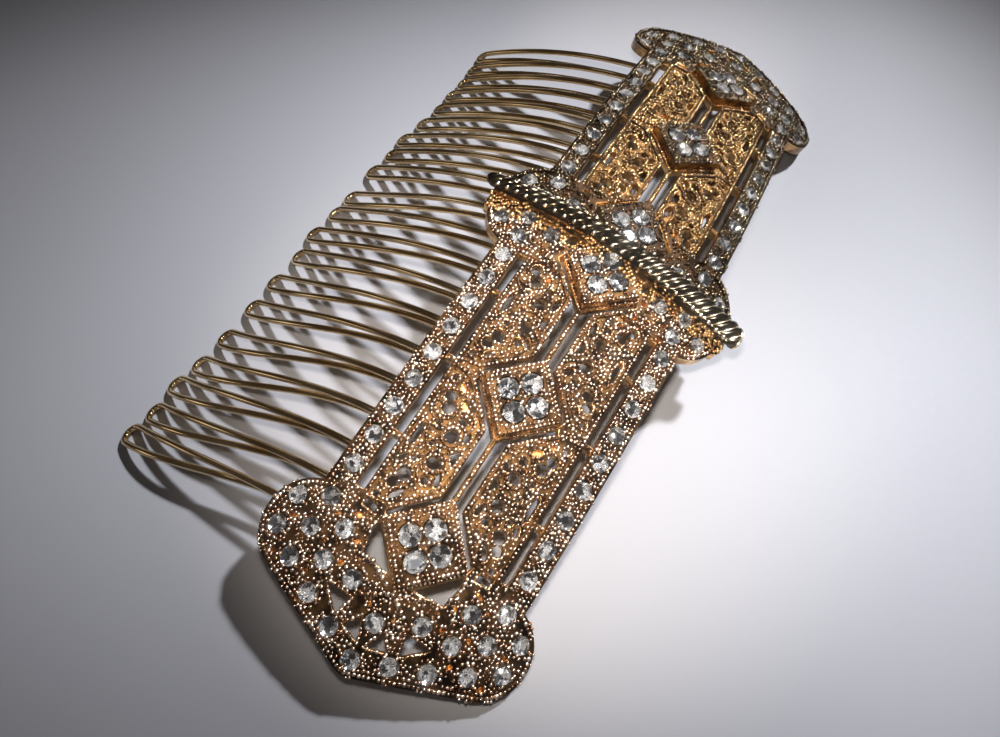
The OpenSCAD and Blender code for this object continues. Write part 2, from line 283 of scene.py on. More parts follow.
def upward(xy):
    """The direction that stands on the dome at flat places."""
    sin_b = xy[..., 1] / DOME_R
    cos_b = np.sqrt(1 - sin_b ** 2)
    sin_a = xy[..., 0] / (ARCH_R - DOME_R + DOME_R * cos_b)
    return np.stack([sin_a * cos_b, sin_b, np.sqrt(1 - sin_a ** 2) * cos_b], -1)


def on_dome(place, height):
    """A pattern place on the dome: its point and the direction that stands on it."""
    a = place[0] * PITCH / ARCH_R
    b = place[1] * PITCH / DOME_R
    up = np.array([math.sin(a) * math.cos(b), math.sin(b), math.cos(a) * math.cos(b)])
    ring = ARCH_R - DOME_R
    centre = np.array([ring * math.sin(a), 0, ring * math.cos(a) - ARCH_R])
    return centre + (DOME_R + height) * up, up


def resting_height():
    """Height of the ridge when the outer edge of a rosette lobe touches the table."""
    turn = np.radians(np.arange(0, 360, 2))
    edge = flat(ROSETTE) + LOBE_R * PITCH * np.stack([np.cos(turn), np.sin(turn)], -1)
    under = raised(edge, -CAST_T)
    return float(np.max(under[:, 1] * math.sin(TILT) - under[:, 2] * math.cos(TILT)))


def middle_shift():
    """How far the ornament moves across so that the whole comb is centred."""
    turn = ROPE_HALF / DOME_R
    end_y = (DOME_R + ROPE_LIFT) * math.sin(turn)
    end_z = (DOME_R + ROPE_LIFT) * math.cos(turn) - DOME_R
    reach = TIP_REACH + max(bend[1] for bend in TOOTH_BENDS)
    return (reach - end_y * math.cos(TILT) - end_z * math.sin(TILT) - ROPE_R) / 2


RIDGE_H = resting_height()
SHIFT = middle_shift()


def on_table(points, far=False):
    """Points of the ornament in the pose on the table, in metres; the far half is mirrored."""
    p = np.asarray(points, float)
    x = -p[..., 0] if far else p[..., 0]
    y = p[..., 1] * math.cos(TILT) + p[..., 2] * math.sin(TILT) + SHIFT
    z = -p[..., 1] * math.sin(TILT) + p[..., 2] * math.cos(TILT) + RIDGE_H
    return np.stack([x, y, z], -1) * MM


# ---- flat loops

def circle(centre, radius, sides=24):
    turn = np.arange(sides) * 2 * math.pi / sides
    return np.asarray(centre, float) + radius * np.stack([np.cos(turn), np.sin(turn)], -1)


def box_loop(x0, x1, y0, y1):
    return np.array([[x0, y0], [x1, y0], [x1, y1], [x0, y1]], float)


def both_sides(loops):
    """Loops or places with their mirror images across the middle line."""
    return list(loops) + [np.asarray(loop, float) * [1, -1] for loop in loops]


def strip(u0, u1, v0, v1):
    return flat([[u0, v0], [u1, v0], [u1, v1], [u0, v1]])


def spaced(path, step, closed=True):
    """Points along a path at even distances."""
    path = np.asarray(path, float)
    if closed:
        path = np.vstack([path, path[:1]])
    lengths = np.linalg.norm(np.diff(path, axis=0), axis=1)
    total = lengths.sum()
    count = max(int(round(total / step)), 2)
    at = np.linspace(0, total, count + 1)
    if closed:
        at = at[:-1]
    reach = np.concatenate([[0], np.cumsum(lengths)])
    return np.stack([np.interp(at, reach, path[:, i]) for i in (0, 1)], -1)


def densified(loop):
    """The loop with its long sides cut into short ones, corners kept."""
    points = []
    for a, b in zip(loop, np.roll(loop, -1, axis=0)):
        cuts = max(int(math.ceil(np.linalg.norm(b - a) / LONGEST_SIDE)), 1)
        points.extend(a + (b - a) * k / cuts for k in range(cuts))
    return np.array(points)


def inside(points, loops):
    """Which points lie in any of the loops."""
    points = np.asarray(points, float)
    found = np.zeros(len(points), bool)
    for loop in loops:
        low, high = loop.min(0), loop.max(0)
        near = np.where(np.all((points > low) & (points < high), axis=1) & ~found)[0]
        if len(near) == 0:
            continue
        x, y = points[near, 0][:, None], points[near, 1][:, None]
        a, b = loop, np.roll(loop, -1, axis=0)
        crossing = (a[:, 1] > y) != (b[:, 1] > y)
        rise = np.where(a[:, 1] == b[:, 1], 1e-12, b[:, 1] - a[:, 1])
        hits = crossing & (x < (b[:, 0] - a[:, 0]) * (y - a[:, 1]) / rise + a[:, 0])
        found[near[hits.sum(1) % 2 == 1]] = True
    return found


def edge_distance(points, loops):
    """Distance from each point to the nearest side of the loops."""
    points = np.asarray(points, float)
    best = np.full(len(points), 1e9)
    for loop in loops:
        a, b = loop, np.roll(loop, -1, axis=0)
        side = b - a
        size = np.maximum((side ** 2).sum(1), 1e-12)
        share = ((points[:, None] - a) * side).sum(2) / size
        nearest = a + np.clip(share, 0, 1)[..., None] * side
        best = np.minimum(best, np.linalg.norm(points[:, None] - nearest, axis=2).min(1))
    return best


# ---- the pattern of one half

def tangent_normal(a, ra, b, rb):
    """The direction that stands on the line touching two circles from outside."""
    along = b - a
    length = np.linalg.norm(along)
    along = along / length
    c = (ra - rb) / length
    s = math.sqrt(1 - c * c)
    return np.array([c * along[0] + s * along[1], c * along[1] - s * along[0]])


def horn_loop(inset):
    """The stub of metal under the rope's end, its corner rounded."""
    width, height = (HORN[0] - inset) * PITCH, (HORN[1] - inset) * PITCH
    r = max(HORN_ROUND - inset * PITCH, 0.1)
    turn = np.radians(np.arange(0, 91, 15))[:, None]
    corner = np.array([width - r, height - r]) + r * np.hstack([np.cos(turn), np.sin(turn)])
    return np.vstack([[[0, 0], [width, 0]], corner, [[0, height]]])


def half_outline(inset=0.0):
    ra = (APEX_R - inset) * PITCH
    rl = (LOBE_R - inset) * PITCH
    apex, lobe = flat([APEX_U, 0]), flat(ROSETTE)
    n = tangent_normal(apex, ra, lobe, rl)
    body = (BODY_V - inset) * PITCH
    flank = np.array([[lobe[0], 0], apex, apex + n * ra, lobe + n * rl, lobe])
    sides = [circle(lobe, rl, 96), flank, circle(flat(MID_LOBE), (MID_LOBE_R - inset) * PITCH, 96),
             horn_loop(inset)]
    return [box_loop(-WEB_HALF * PITCH, lobe[0], -body, body), circle(apex, ra, 64)] + both_sides(sides)


CARTOUCHE_U = [(DIAMOND_U[j] + DIAMOND_U[j + 1]) / 2 for j in (0, 1)]
DIAMOND_STEP = DIAMOND_U[1] - DIAMOND_U[0]


def slant(distance, v):
    """Where a line parallel to a diamond's edge crosses v."""
    return DIAMOND_STEP / 2 - distance + v


def cartouche_loop(inset):
    """The frame of a cartouche in mm about its middle."""
    top = FRAME_TOP + inset
    low = FIELD_V - inset
    side = SLOT_OUT + inset * math.sqrt(2)
    corner = [DIAMOND_STEP / 2 - FRAME_CORNER - inset, side - FRAME_CORNER - inset]
    foot = DIAMOND_STEP / 2 - FRAME_SIDE - inset
    return PITCH * np.array([[-slant(side, top), top], [slant(side, top), top], corner,
                             [foot, low], [-foot, low], [-corner[0], corner[1]]])


def bracket_slot():
    """The bent slot round a cartouche's inner side, in mm about its middle."""
    wall = [[slant(SLOT_IN, v), v] for v in (BRACKET_END, BRACKET_TOP)]
    lip = [[slant(SLOT_OUT, v), v] for v in (BRACKET_LOW, BRACKET_END + FRAME_SIDE)]
    left = [[-p, v] for p, v in (wall[1], wall[0], lip[1], lip[0])]
    return PITCH * np.array(wall + left + lip)


def at_cartouches(loops):
    """Loops of one cartouche, in mm, at its places."""
    placed = [np.asarray(loop, float) + [flat([u, 0])[0], 0] for u in CARTOUCHE_U for loop in loops]
    return both_sides(placed)


def eye_loops(table, grow=0.0):
    return [circle([side * p * PITCH, v * PITCH], r * PITCH + grow)
            for p, v, r in table for side in ((-1, 1) if p else (1,))]


MIDDLE_LOOPS = [PITCH * np.array(points) for points in MIDDLE_OPENINGS]


def all_openings():
    loops = at_cartouches([bracket_slot()] + eye_loops(EYES + FINE_EYES) + MIDDLE_LOOPS)
    slots = [strip(u0, u1, FIELD_V, SLOT_V) for u0, u1 in BORDER_SLOTS]
    return loops + both_sides(slots + [flat(points) for points in FAN_OPENINGS + MID_OPENINGS])


def rosette_places():
    turn = [math.radians(a) for a in range(0, 360, 60)]
    return [list(ROSETTE)] + [[ROSETTE[0] + ROSETTE_RING * math.cos(t),
                               ROSETTE[1] + ROSETTE_RING * math.sin(t)] for t in turn]


BORDER_ROW = [[FIRST_STONE_U + i, ROW_V] for i in range(BORDER_STONES)]
BORDER_PLACES = both_sides(BORDER_ROW + MID_LOBE_STONES)
END_PLACES = both_sides(rosette_places() + EDGE_STONES) + [APEX_STONE] + PETAL_STONES


def cluster_places(u):
    return [[u - CLUSTER_U, 0], [u, CLUSTER_U], [u + CLUSTER_U, 0], [u, -CLUSTER_U]]


SMALL_SPOTS = np.array([on_dome(p, 0)[0][:2] for p in BORDER_PLACES + END_PLACES])
LARGE_SPOTS = np.array([on_dome(p, DIAMOND_RISE)[0][:2] for u in DIAMOND_U for p in cluster_places(u)])
SEATS = [circle(c, SMALL_STONE_R + SEAT_GAP, 32) for c in SMALL_SPOTS]
CLUSTER_SEATS = [circle(c, LARGE_STONE_R + SEAT_GAP, 32) for c in LARGE_SPOTS]


def diamond_loop(u, q):
    return flat([u, 0]) + q * PITCH * np.array([[1, 0], [0, 1], [-1, 0], [0, -1]], float)


OUTLINE = half_outline()
INNER_OUTLINE = half_outline(EDGE_RAIL)
OPENINGS = all_openings()
FIELD = [strip(FIELD_START, FIELD_END, -SLOT_V, SLOT_V)]
FRAMES = at_cartouches([cartouche_loop(0)])
FRAME_HOLES = at_cartouches([cartouche_loop(RAIL_W)])
SCROLLS = at_cartouches(eye_loops([[EYES[0][0], EYES[0][1], SCROLL_R]]))
INNER_RAILS = both_sides([strip(FIELD_START, FIELD_END, SLOT_V + RAIL_SETBACK, SLOT_V + RAIL_W)])
PETAL_LOOPS = [flat(points) for points in PETALS]
DIAMONDS = [diamond_loop(u, DIAMOND_Q) for u in DIAMOND_U]
WEB = [box_loop(-WEB_HALF * PITCH, WEB_HALF * PITCH, -HORN[1] * PITCH, HORN[1] * PITCH)]


# ---- the lace between the openings

def between(low, high):
    return float(rng.uniform(low, high))


def bean(centre, length, width, turn):
    """A drop-shaped hollow: one end broader than the other."""
    a = np.arange(BEAN_SIDES) * 2 * math.pi / BEAN_SIDES
    x = length * np.cos(a)
    y = width * np.sin(a) * (1 + BEAN_TAPER * np.cos(a))
    c, s = math.cos(turn), math.sin(turn)
    return np.asarray(centre) + np.stack([c * x - s * y, s * x + c * y], -1)


def near_loops(loops, spot):
    """The loops close enough to a spot to crowd a hollow there."""
    return [loop for loop in loops
            if np.all(spot > loop.min(0) - PIT_REACH) and np.all(spot < loop.max(0) + PIT_REACH)]


def scattered_pits(region, blocked, centres, tries, sizes):
    """Blind hollows bent round the nearest centre, each a grain's width from all else."""
    lengths, widths, wall = sizes
    reach = np.vstack(region)
    low, high = reach.min(0), reach.max(0)
    centres = np.array(centres)
    pits = []
    for _ in range(tries):
        spot = np.array([between(low[0], high[0]), between(low[1], high[1])])
        away = spot - centres[np.argmin(((centres - spot) ** 2).sum(1))]
        turn = math.atan2(away[1], away[0]) + math.pi / 2 + between(-BEAN_TURN, BEAN_TURN)
        pit = bean(spot, between(*lengths), between(*widths), turn)
        probe = np.vstack([pit, [spot]])
        others = near_loops(blocked + pits, spot)
        if inside(probe, region).all() and not inside(probe, others).any():
            if edge_distance(pit, others).min() >= wall:
                pits.append(pit)
    return pits


def all_pits():
    pits = []
    for u in CARTOUCHE_U:
        middle = flat([u, 0])[0]
        inner = cartouche_loop(RAIL_W + 0.06) + [middle, 0]
        eyes = [[side * p * PITCH + middle, v * PITCH] for p, v, _ in EYES for side in (-1, 1)]
        pits.extend(both_sides(scattered_pits([inner], OPENINGS, eyes, LACE_TRIES, LACE_PITS)))
    blocked = OPENINGS + SEATS + PETAL_LOOPS + DIAMONDS
    metal = half_outline(EDGE_RAIL + 0.05)
    for u0, u1, tries in ((FIELD_END + 0.05, 16, END_TRIES), (WEB_HALF + 0.25, FIELD_START, MID_TRIES)):
        found = scattered_pits([strip(u0, u1, 0, 5)], blocked, SMALL_SPOTS, tries, EDGE_PITS)
        pits.extend(both_sides([pit for pit in found if inside(pit, metal).all()]))
    return pits


PITS = all_pits()
PIERCED = [pit for pit in PITS if np.ptp(pit, axis=0).max() > PIERCED_SIZE]
HOLLOWS = OPENINGS + SEATS + PITS + CLUSTER_SEATS


def scroll_runs():
    """Open arcs round the eyes of the cartouches, as flat paths that stay on the metal."""
    runs = []
    for u in CARTOUCHE_U:
        middle = flat([u, 0])[0]
        inner = [cartouche_loop(RAIL_W + 0.05) + [middle, 0]]
        for p, v, r in EYES:
            for side in (-1, 1):
                centre = np.array([side * p * PITCH + middle, v * PITCH])
                for ring in range(SCROLL_RINGS):
                    radius = r * PITCH + SCROLL_START + SCROLL_STEP * ring
                    first, span = between(0, 2 * math.pi), between(*SCROLL_SPANS)
                    turn = np.arange(first, first + span, 0.16 / radius)
                    swell = radius + SCROLL_SWELL * (turn - first) / span
                    path = centre + swell[:, None] * np.stack([np.cos(turn), np.sin(turn)], -1)
                    runs.extend(kept_runs(path, inner, HOLLOWS + DIAMONDS))
    return both_sides(runs)


def kept_runs(path, region, hollows):
    """The stretches of a path that lie in a region and clear of its hollows."""
    good = inside(path, region) & ~inside(path, hollows)
    cuts = np.flatnonzero(np.diff(good)) + 1
    return [run for run, keep in zip(np.split(path, cuts), np.split(good, cuts))
            if keep[0] and len(run) > LEAST_RUN]


SCROLL_RUNS = scroll_runs()


# ---- meshes

def added(name, data):
    """A new object of the scene."""
    thing = bpy.data.objects.new(name, data)
    bpy.context.scene.collection.objects.link(thing)
    return thing


class Build:
    """Collects points and faces for one joined mesh, each face with its own finish."""

    def __init__(self):
        self.points = []
        self.faces = []
        self.marks = []
        self.count = 0

    def add(self, points, faces, mark=0):
        points = np.asarray(points, float).reshape(-1, 3)
        for face in faces:
            self.faces.append([int(i) + self.count for i in face])
            self.marks.append(mark)
        self.points.append(points)
        self.count += len(points)

    def make(self, name, materials, far=False, posed=False, smooth=True, sharp=None):
        """The mesh in the scene: the far half is mirrored, and posed points lie on the table already."""
        points = np.vstack(self.points)
        points = points * MM if posed else on_table(points, far)
        faces = [face[::-1] for face in self.faces] if far else self.faces
        mesh = bpy.data.meshes.new(name)
        mesh.from_pydata(points.tolist(), [], faces)
        for material in materials:
            mesh.materials.append(material)
        mesh.polygons.foreach_set("material_index", self.marks)
        mesh.polygons.foreach_set("use_smooth", [smooth] * len(faces))
        if sharp is not None:
            mesh.set_sharp_from_angle(angle=math.radians(sharp))
        mesh.update()
        return added(name, mesh)


def cut_region(solids, holes, start, grid=1.0):
    """Flat triangles of everything in the solids, out of the holes and beyond the start."""
    loops = [densified(loop) for loop in list(solids) + list(holes)]
    reach = np.vstack(loops)
    low, high = reach.min(0) - 1, reach.max(0) + 1
    loops.append(densified(box_loop(start, high[0], low[1], high[1])))
    points, edges = [], []
    for loop in loops:
        first = len(points)
        points.extend(loop.tolist())
        edges.extend((first + k, first + (k + 1) % len(loop)) for k in range(len(loop)))
    xs, ys = np.meshgrid(np.arange(low[0], high[0], grid), np.arange(low[1], high[1], grid))
    inner = np.stack([xs.ravel(), ys.ravel()], -1)
    inner = inner[inside(inner, solids) & ~inside(inner, holes)]
    inner = inner[edge_distance(inner, loops) > 0.3 * grid]
    points.extend(inner.tolist())
    out = delaunay_2d_cdt([Vector(p) for p in points], edges, [], 0, 1e-4)
    flat_points = np.array([[v.x, v.y] for v in out[0]])
    faces = np.array([f for f in out[2] if len(f) == 3])
    middle = flat_points[faces].mean(1)
    faces = faces[inside(middle, solids) & ~inside(middle, holes) & (middle[:, 0] > start)]
    a, b, c = (flat_points[faces[:, k]] for k in range(3))
    area = (b[:, 0] - a[:, 0]) * (c[:, 1] - a[:, 1]) - (b[:, 1] - a[:, 1]) * (c[:, 0] - a[:, 0])
    real = np.abs(area) > 1e-7
    faces, area = faces[real], area[real]
    faces[area < 0] = faces[area < 0][:, ::-1]
    used, index = np.unique(faces, return_inverse=True)
    return flat_points[used], index.reshape(faces.shape)


def border_edges(faces):
    """Directed edges with metal on their left and none on their right."""
    directed = {(int(f[k]), int(f[(k + 1) % 3])) for f in faces for k in range(3)}
    return [edge for edge in directed if (edge[1], edge[0]) not in directed]


def inward_steps(points, edges):
    """For each point on a border, the step that moves both its sides in by one unit."""
    steps = np.zeros_like(points)
    normals = {}
    for a, b in edges:
        side = points[b] - points[a]
        length = np.linalg.norm(side)
        if length > 1e-9:
            normal = np.array([-side[1], side[0]]) / length
            normals.setdefault(a, []).append(normal)
            normals.setdefault(b, []).append(normal)
    for k, pair in normals.items():
        if len(pair) == 2:
            mean = pair[0] + pair[1]
            size = float(mean @ mean)
            steps[k] = 2 * mean / size if size > 0.8 else mean
    return steps


def border_paths(points, edges):
    """The border edges chained into closed paths."""
    after = {}
    for a, b in sorted(edges):
        after.setdefault(a, []).append(b)
    paths = []
    while after:
        start = next(iter(after))
        path = [start]
        here = start
        while here in after:
            following = after[here].pop()
            if not after[here]:
                del after[here]
            here = following
            if here == start:
                break
            path.append(here)
        paths.append(points[path])
    return paths


# The casting's finishes by their places in its list.
TOP, SIDE, DARK, LACE = 0, 1, 2, 3


def add_slab(build, solids, holes, start, low, high, bevel=BEVEL, grid=1.0,
             face=TOP, wall=SIDE, round_holes=()):
    """A slab of the cast shell between two heights, with a small bevel round its top; the borders
    of some of its holes are rounded off instead."""
    points, faces = cut_region(solids, holes, start, grid)
    edges = border_edges(faces)
    steps = inward_steps(points, edges)
    order = np.array(sorted({k for edge in edges for k in edge}))
    place = {k: i for i, k in enumerate(order)}
    m = len(order)
    rounded = np.zeros(len(points), bool)
    if len(round_holes):
        rounded[order] = edge_distance(points[order], round_holes) < 0.001
    width = np.where(rounded, SHOULDER_W, bevel)[:, None]
    depth = np.where(rounded, SHOULDER_DEPTH, bevel)
    build.add(raised(points + steps * width, high), faces, face)
    build.add(raised(points, low), faces[:, ::-1], wall)
    profile = SHOULDER if len(round_holes) else [SHOULDER[0], SHOULDER[-1]]
    rings = [raised((points + steps * width * w)[order], (high - depth * d)[order]) for w, d in profile]
    rings.append(raised(points[order], low))
    for k, (upper, lower) in enumerate(zip(rings, rings[1:])):
        last = k == len(rings) - 2
        for is_round in (False, True):
            sides = [(place[a], m + place[a], m + place[b], place[b]) for a, b in edges
                     if (rounded[a] and rounded[b]) == is_round]
            build.add(np.vstack([upper, lower]), sides, wall if last or is_round else face)


def cast_half(start, web):
    """One half of the ornament as overlapping slabs of the shell."""
    build = Build()
    field = -FIELD_DROP
    hollows = OPENINGS + SEATS + PITS
    add_slab(build, OUTLINE, OPENINGS + PIERCED, start, -CAST_T, -PIT_FLOOR, LOW_BEVEL, LOW_GRID, SIDE)
    add_slab(build, OUTLINE, hollows, start, -PIT_FLOOR - LAP, field, face=LACE, round_holes=OPENINGS + PITS)
    add_slab(build, OUTLINE, hollows + FIELD, start, field - LAP, 0, round_holes=OPENINGS)
    add_slab(build, FRAMES, FRAME_HOLES + OPENINGS, start, field - LAP, field + RAIL_RISE)
    add_slab(build, SCROLLS, OPENINGS, start, field - LAP, field + RAIL_RISE)
    add_slab(build, OUTLINE, INNER_OUTLINE + OPENINGS, start, -LAP, RAIL_RISE, wall=TOP)
    add_slab(build, INNER_RAILS, OPENINGS, start, -LAP, RAIL_RISE, wall=TOP)
    add_slab(build, PETAL_LOOPS, OPENINGS + SEATS, start, -LAP, RAIL_RISE, face=DARK, wall=DARK)
    add_slab(build, DIAMONDS, CLUSTER_SEATS, max(start, DIAMOND_START * PITCH), field - LAP, DIAMOND_RISE)
    if web:
        add_slab(build, WEB, [], start, -WEB_ROOT, WEB_RISE)
    shelf = [box_loop(0, SHELF_END, -BODY_V * PITCH, BODY_V * PITCH)]
    add_slab(build, shelf, SEATS + OPENINGS + PITS + DIAMONDS, max(start, 0.1), -LAP, SHELF_RISE, face=LACE)
    for run in SCROLL_RUNS:
        path = spaced(run, 0.25, False)
        if path[:, 0].min() > start:
            add_tube(build, raised(path, field), SCROLL_WIRE_R, 6, side_hint=(0.1, 0.2, 1.0), mark=LACE)
    return build


# ---- grains

class Grains:
    """Beads on the surface that keep a distance from each other."""

    def __init__(self, start):
        self.start = start
        self.kept = []
        self.cells = {}

    def cell(self, x, y):
        """The half millimetre square that a place lies in."""
        return int(x // 0.5), int(y // 0.5)

    def free(self, x, y, gap):
        cx, cy = self.cell(x, y)
        near = [self.kept[k] for i in range(cx - 1, cx + 2) for j in range(cy - 1, cy + 2)
                for k in self.cells.get((i, j), ())]
        return all((other[0] - x) ** 2 + (other[1] - y) ** 2 >= gap ** 2 for other in near)

    def add(self, places, radius=GRAIN_R, closeness=GRAIN_GAP, lift=0.0):
        """Grains at flat places; one that would crowd another is left out."""
        places = np.asarray(places, float)
        places = places[places[:, 0] > self.start + radius]
        if not len(places):
            return
        places = places + rng.uniform(-GRAIN_JITTER, GRAIN_JITTER, places.shape)
        keep = inside(places, OUTLINE) & ~inside(places, HOLLOWS)
        places = places[keep]
        for (x, y), h in zip(places, level_at(places)):
            size = radius * (END_GRAINS if x > FIELD_END * PITCH or x < FIELD_START * PITCH else 1)
            if self.free(x, y, 2 * size * closeness):
                self.place(x, y, h + lift, size * random.uniform(*GRAIN_SIZES))

    def place(self, x, y, height, size):
        self.cells.setdefault(self.cell(x, y), []).append(len(self.kept))
        self.kept.append((x, y, height, size))


def level_at(places):
    """Height of the metal's surface at flat places."""
    height = np.zeros(len(places))
    height[inside(places, FIELD)] = -FIELD_DROP
    framed = inside(places, FRAMES) & ~inside(places, FRAME_HOLES) | inside(places, SCROLLS)
    height[framed] = RAIL_RISE - FIELD_DROP
    railed = ~inside(places, INNER_OUTLINE) | inside(places, INNER_RAILS + PETAL_LOOPS)
    height[railed] = RAIL_RISE
    height[inside(places, DIAMONDS)] = DIAMOND_RISE
    height[inside(places, WEB)] = WEB_RISE
    return height


def ring_row(grains, loop, outward, step, radius):
    """A row of grains round a closed loop, set off to its outside whichever way it runs."""
    loop = densified(loop)
    a, b = loop, np.roll(loop, -1, axis=0)
    turns_left = (a[:, 0] * b[:, 1] - b[:, 0] * a[:, 1]).sum() > 0
    steps = inward_steps(loop, [(k, (k + 1) % len(loop)) for k in range(len(loop))])
    grains.add(spaced(loop - steps * (outward if turns_left else -outward), step), radius)


def rim_row(grains, inset):
    """A row of grains all round the half, set in from its rim by an inset in pitches."""
    points, faces = cut_region(half_outline(inset), [], EVERYWHERE, grid=9)
    for path in border_paths(points, border_edges(faces)):
        grains.add(spaced(path, GRAIN_STEP))


def bare(places):
    """Where the casting is left without grains: cloudy patches outside the field, which two crossed
    waves give, and the band inside the palmette's rim."""
    x, y = places[:, 0], places[:, 1]
    wave = np.sin(1.9 * x + 2 * np.sin(0.9 * y)) + np.sin(2.3 * y + 2 * np.sin(0.8 * x) + 1)
    outside = (x > FIELD_END * PITCH) | (x < FIELD_START * PITCH)
    outer, inner = (inside(places, half_outline(inset)) for inset in BAND_INSETS)
    return outside & (wave > 0.5) | (x > BAND_START * PITCH) & outer & ~inner


def fill(grains, region, holes, step, radius, clear, closeness=GRAIN_GAP):
    """Grains all over a region, in a loose honeycomb."""
    reach = np.vstack(region)
    low, high = reach.min(0), reach.max(0)
    rows = np.arange(low[1], high[1], step * math.sqrt(3) / 2)
    columns = np.arange(low[0], high[0], step)
    places = np.array([(x + (k % 2) * step / 2, y) for k, y in enumerate(rows) for x in columns])
    places = places + rng.uniform(-FILL_JITTER, FILL_JITTER, (len(places), 2)) * step
    kept = inside(places, region) & inside(places, OUTLINE) & ~(bare(places) & ~inside(places, DIAMONDS))
    places = places[kept]
    places = places[(edge_distance(places, holes) > clear) & ~inside(places, holes)]
    grains.add(places, radius, closeness)


def half_grains(start):
    """All grains of one half; the rows come first, so that the fills keep clear of them."""
    grains = Grains(start)
    for side in (1, -1):
        arm = spaced(flat(np.array(PALMETTE_ARM) * [1, side]), ARM_STEP, False)
        grains.add(arm, ARM_GRAIN_R, lift=SCROLL_LIFT)
    for run in SCROLL_RUNS:
        grains.add(spaced(run, EYE_STEP, False), PIT_GRAIN_R, lift=SCROLL_LIFT)
    rim_row(grains, RIM_ROWS[0])
    for side in (1, -1):
        for v in SLOT_ROWS:
            line = flat([[FIELD_START + 0.05, side * v], [FIELD_END - 0.05, side * v]])
            grains.add(spaced(line, GRAIN_STEP, False))
    for u in DIAMOND_U:
        for q, step, radius in DIAMOND_ROWS:
            grains.add(spaced(diamond_loop(u, q), step), radius)
    for loop in at_cartouches([cartouche_loop(RAIL_W / 3)]):
        grains.add(spaced(loop, GRAIN_STEP))
    for u in CARTOUCHE_U:
        reach = DIAMOND_STEP / 2 - DIAMOND_Q - 0.1
        grains.add(spaced(flat([[u - reach, 0], [u + reach, 0]]), GRAIN_STEP, False))
    for loop in at_cartouches(eye_loops(EYES + FINE_EYES, EYE_RIM)):
        grains.add(spaced(loop, EYE_STEP), SEAT_GRAIN_R)
    ends = both_sides([flat(points) for points in FAN_OPENINGS + MID_OPENINGS])
    for loop in at_cartouches(MIDDLE_LOOPS) + ends:
        ring_row(grains, loop, outward=0.14, step=0.46, radius=GRAIN_R)
    for centre in SMALL_SPOTS:
        grains.add(circle(centre, SMALL_STONE_R + SEAT_RIM, SEAT_GRAINS), SEAT_GRAIN_R, closeness=0.88)
    for loop in PETAL_LOOPS:
        ring_row(grains, loop, outward=0.08, step=0.46, radius=SEAT_GRAIN_R)
    for pit in PITS:
        ring_row(grains, pit, outward=0.13, step=0.42, radius=PIT_GRAIN_R)
    rim_row(grains, RIM_ROWS[1])
    fill(grains, FIELD, HOLLOWS, step=0.47, radius=SEAT_GRAIN_R, clear=0.15)
    fill(grains, DIAMONDS, CLUSTER_SEATS, step=0.46, radius=SEAT_GRAIN_R, clear=0.13)
    fill(grains, OUTLINE, HOLLOWS + PETAL_LOOPS, step=0.48, radius=0.195, clear=0.15)
    dust_free = HOLLOWS + FIELD + DIAMONDS
    fill(grains, OUTLINE, dust_free, step=0.33, radius=DUST_R, clear=0.1, closeness=1.05)
    add_frill(grains)
    add_prongs(grains)
    return grains


def add_prongs(grains):
    """The larger beads that hold each stone by its edge."""
    stones = [(spot, SMALL_STONE_R, 0) for spot in SMALL_SPOTS]
    stones += [(spot, LARGE_STONE_R, DIAMOND_RISE) for spot in LARGE_SPOTS]
    for centre, radius, level in stones:
        first = between(0, math.pi / 2)
        for k in range(PRONGS):
            turn = first + k * 2 * math.pi / PRONGS
            x, y = centre + (radius + PRONG_OUT) * np.array([math.cos(turn), math.sin(turn)])
            if x > grains.start:
                grains.place(x, y, PRONG_LIFT + level, PRONG_R)


def add_frill(grains):
    """Small crowded grains that climb from the border to the foot of the rope."""
    foot = WEB_HALF * PITCH
    for _ in range(FRILL_TRIES):
        x, y = between(foot, FRILL_END), between(-HORN[1], HORN[1]) * PITCH
        if x > grains.start and grains.free(x, y, FRILL_GAP) and inside([[x, y]], OUTLINE)[0]:
            share = (FRILL_END - x) / (FRILL_END - foot)
            if not inside([[x, y]], HOLLOWS + DIAMONDS)[0]:
                grains.place(x, y, FRILL_TOP * share + between(-0.05, 0.2), between(*FRILL_SIZES))


GRAIN_SIDES = 8
# Columns: radius and height of a grain's rings, in grain radii.
GRAIN_RINGS = [[1.0, -0.25], [0.88, 0.44]]
GRAIN_TOP = 0.78
GRAIN_LEAN = 0.28
# The grains' finishes by their places in the list.
LACE_BEAD, FRILL_BEAD, BORDER_BEAD = 0, 1, 2


def grain_template():
    turn = np.arange(GRAIN_SIDES) * 2 * math.pi / GRAIN_SIDES
    rings = [np.stack([r * np.cos(turn), r * np.sin(turn), np.full(GRAIN_SIDES, z)], -1)
             for r, z in GRAIN_RINGS]
    points = np.vstack(rings + [[[0, 0, GRAIN_TOP]]])
    faces = [tuple(range(GRAIN_SIDES - 1, -1, -1))]
    for k in range(GRAIN_SIDES):
        j = (k + 1) % GRAIN_SIDES
        faces.append((k, j, GRAIN_SIDES + j, GRAIN_SIDES + k))
        faces.append((GRAIN_SIDES + k, GRAIN_SIDES + j, 2 * GRAIN_SIDES))
    return points, faces


def stood(shape, up, turn=0.0):
    """A shape that stands on the surface, turned round the direction up, for each such direction."""
    first = unit(np.array([1.0, 0, 0]) - up[..., :1] * up)
    a = first * math.cos(turn) + np.cross(up, first) * math.sin(turn)
    return shape @ np.stack([a, np.cross(up, a), up], -2)


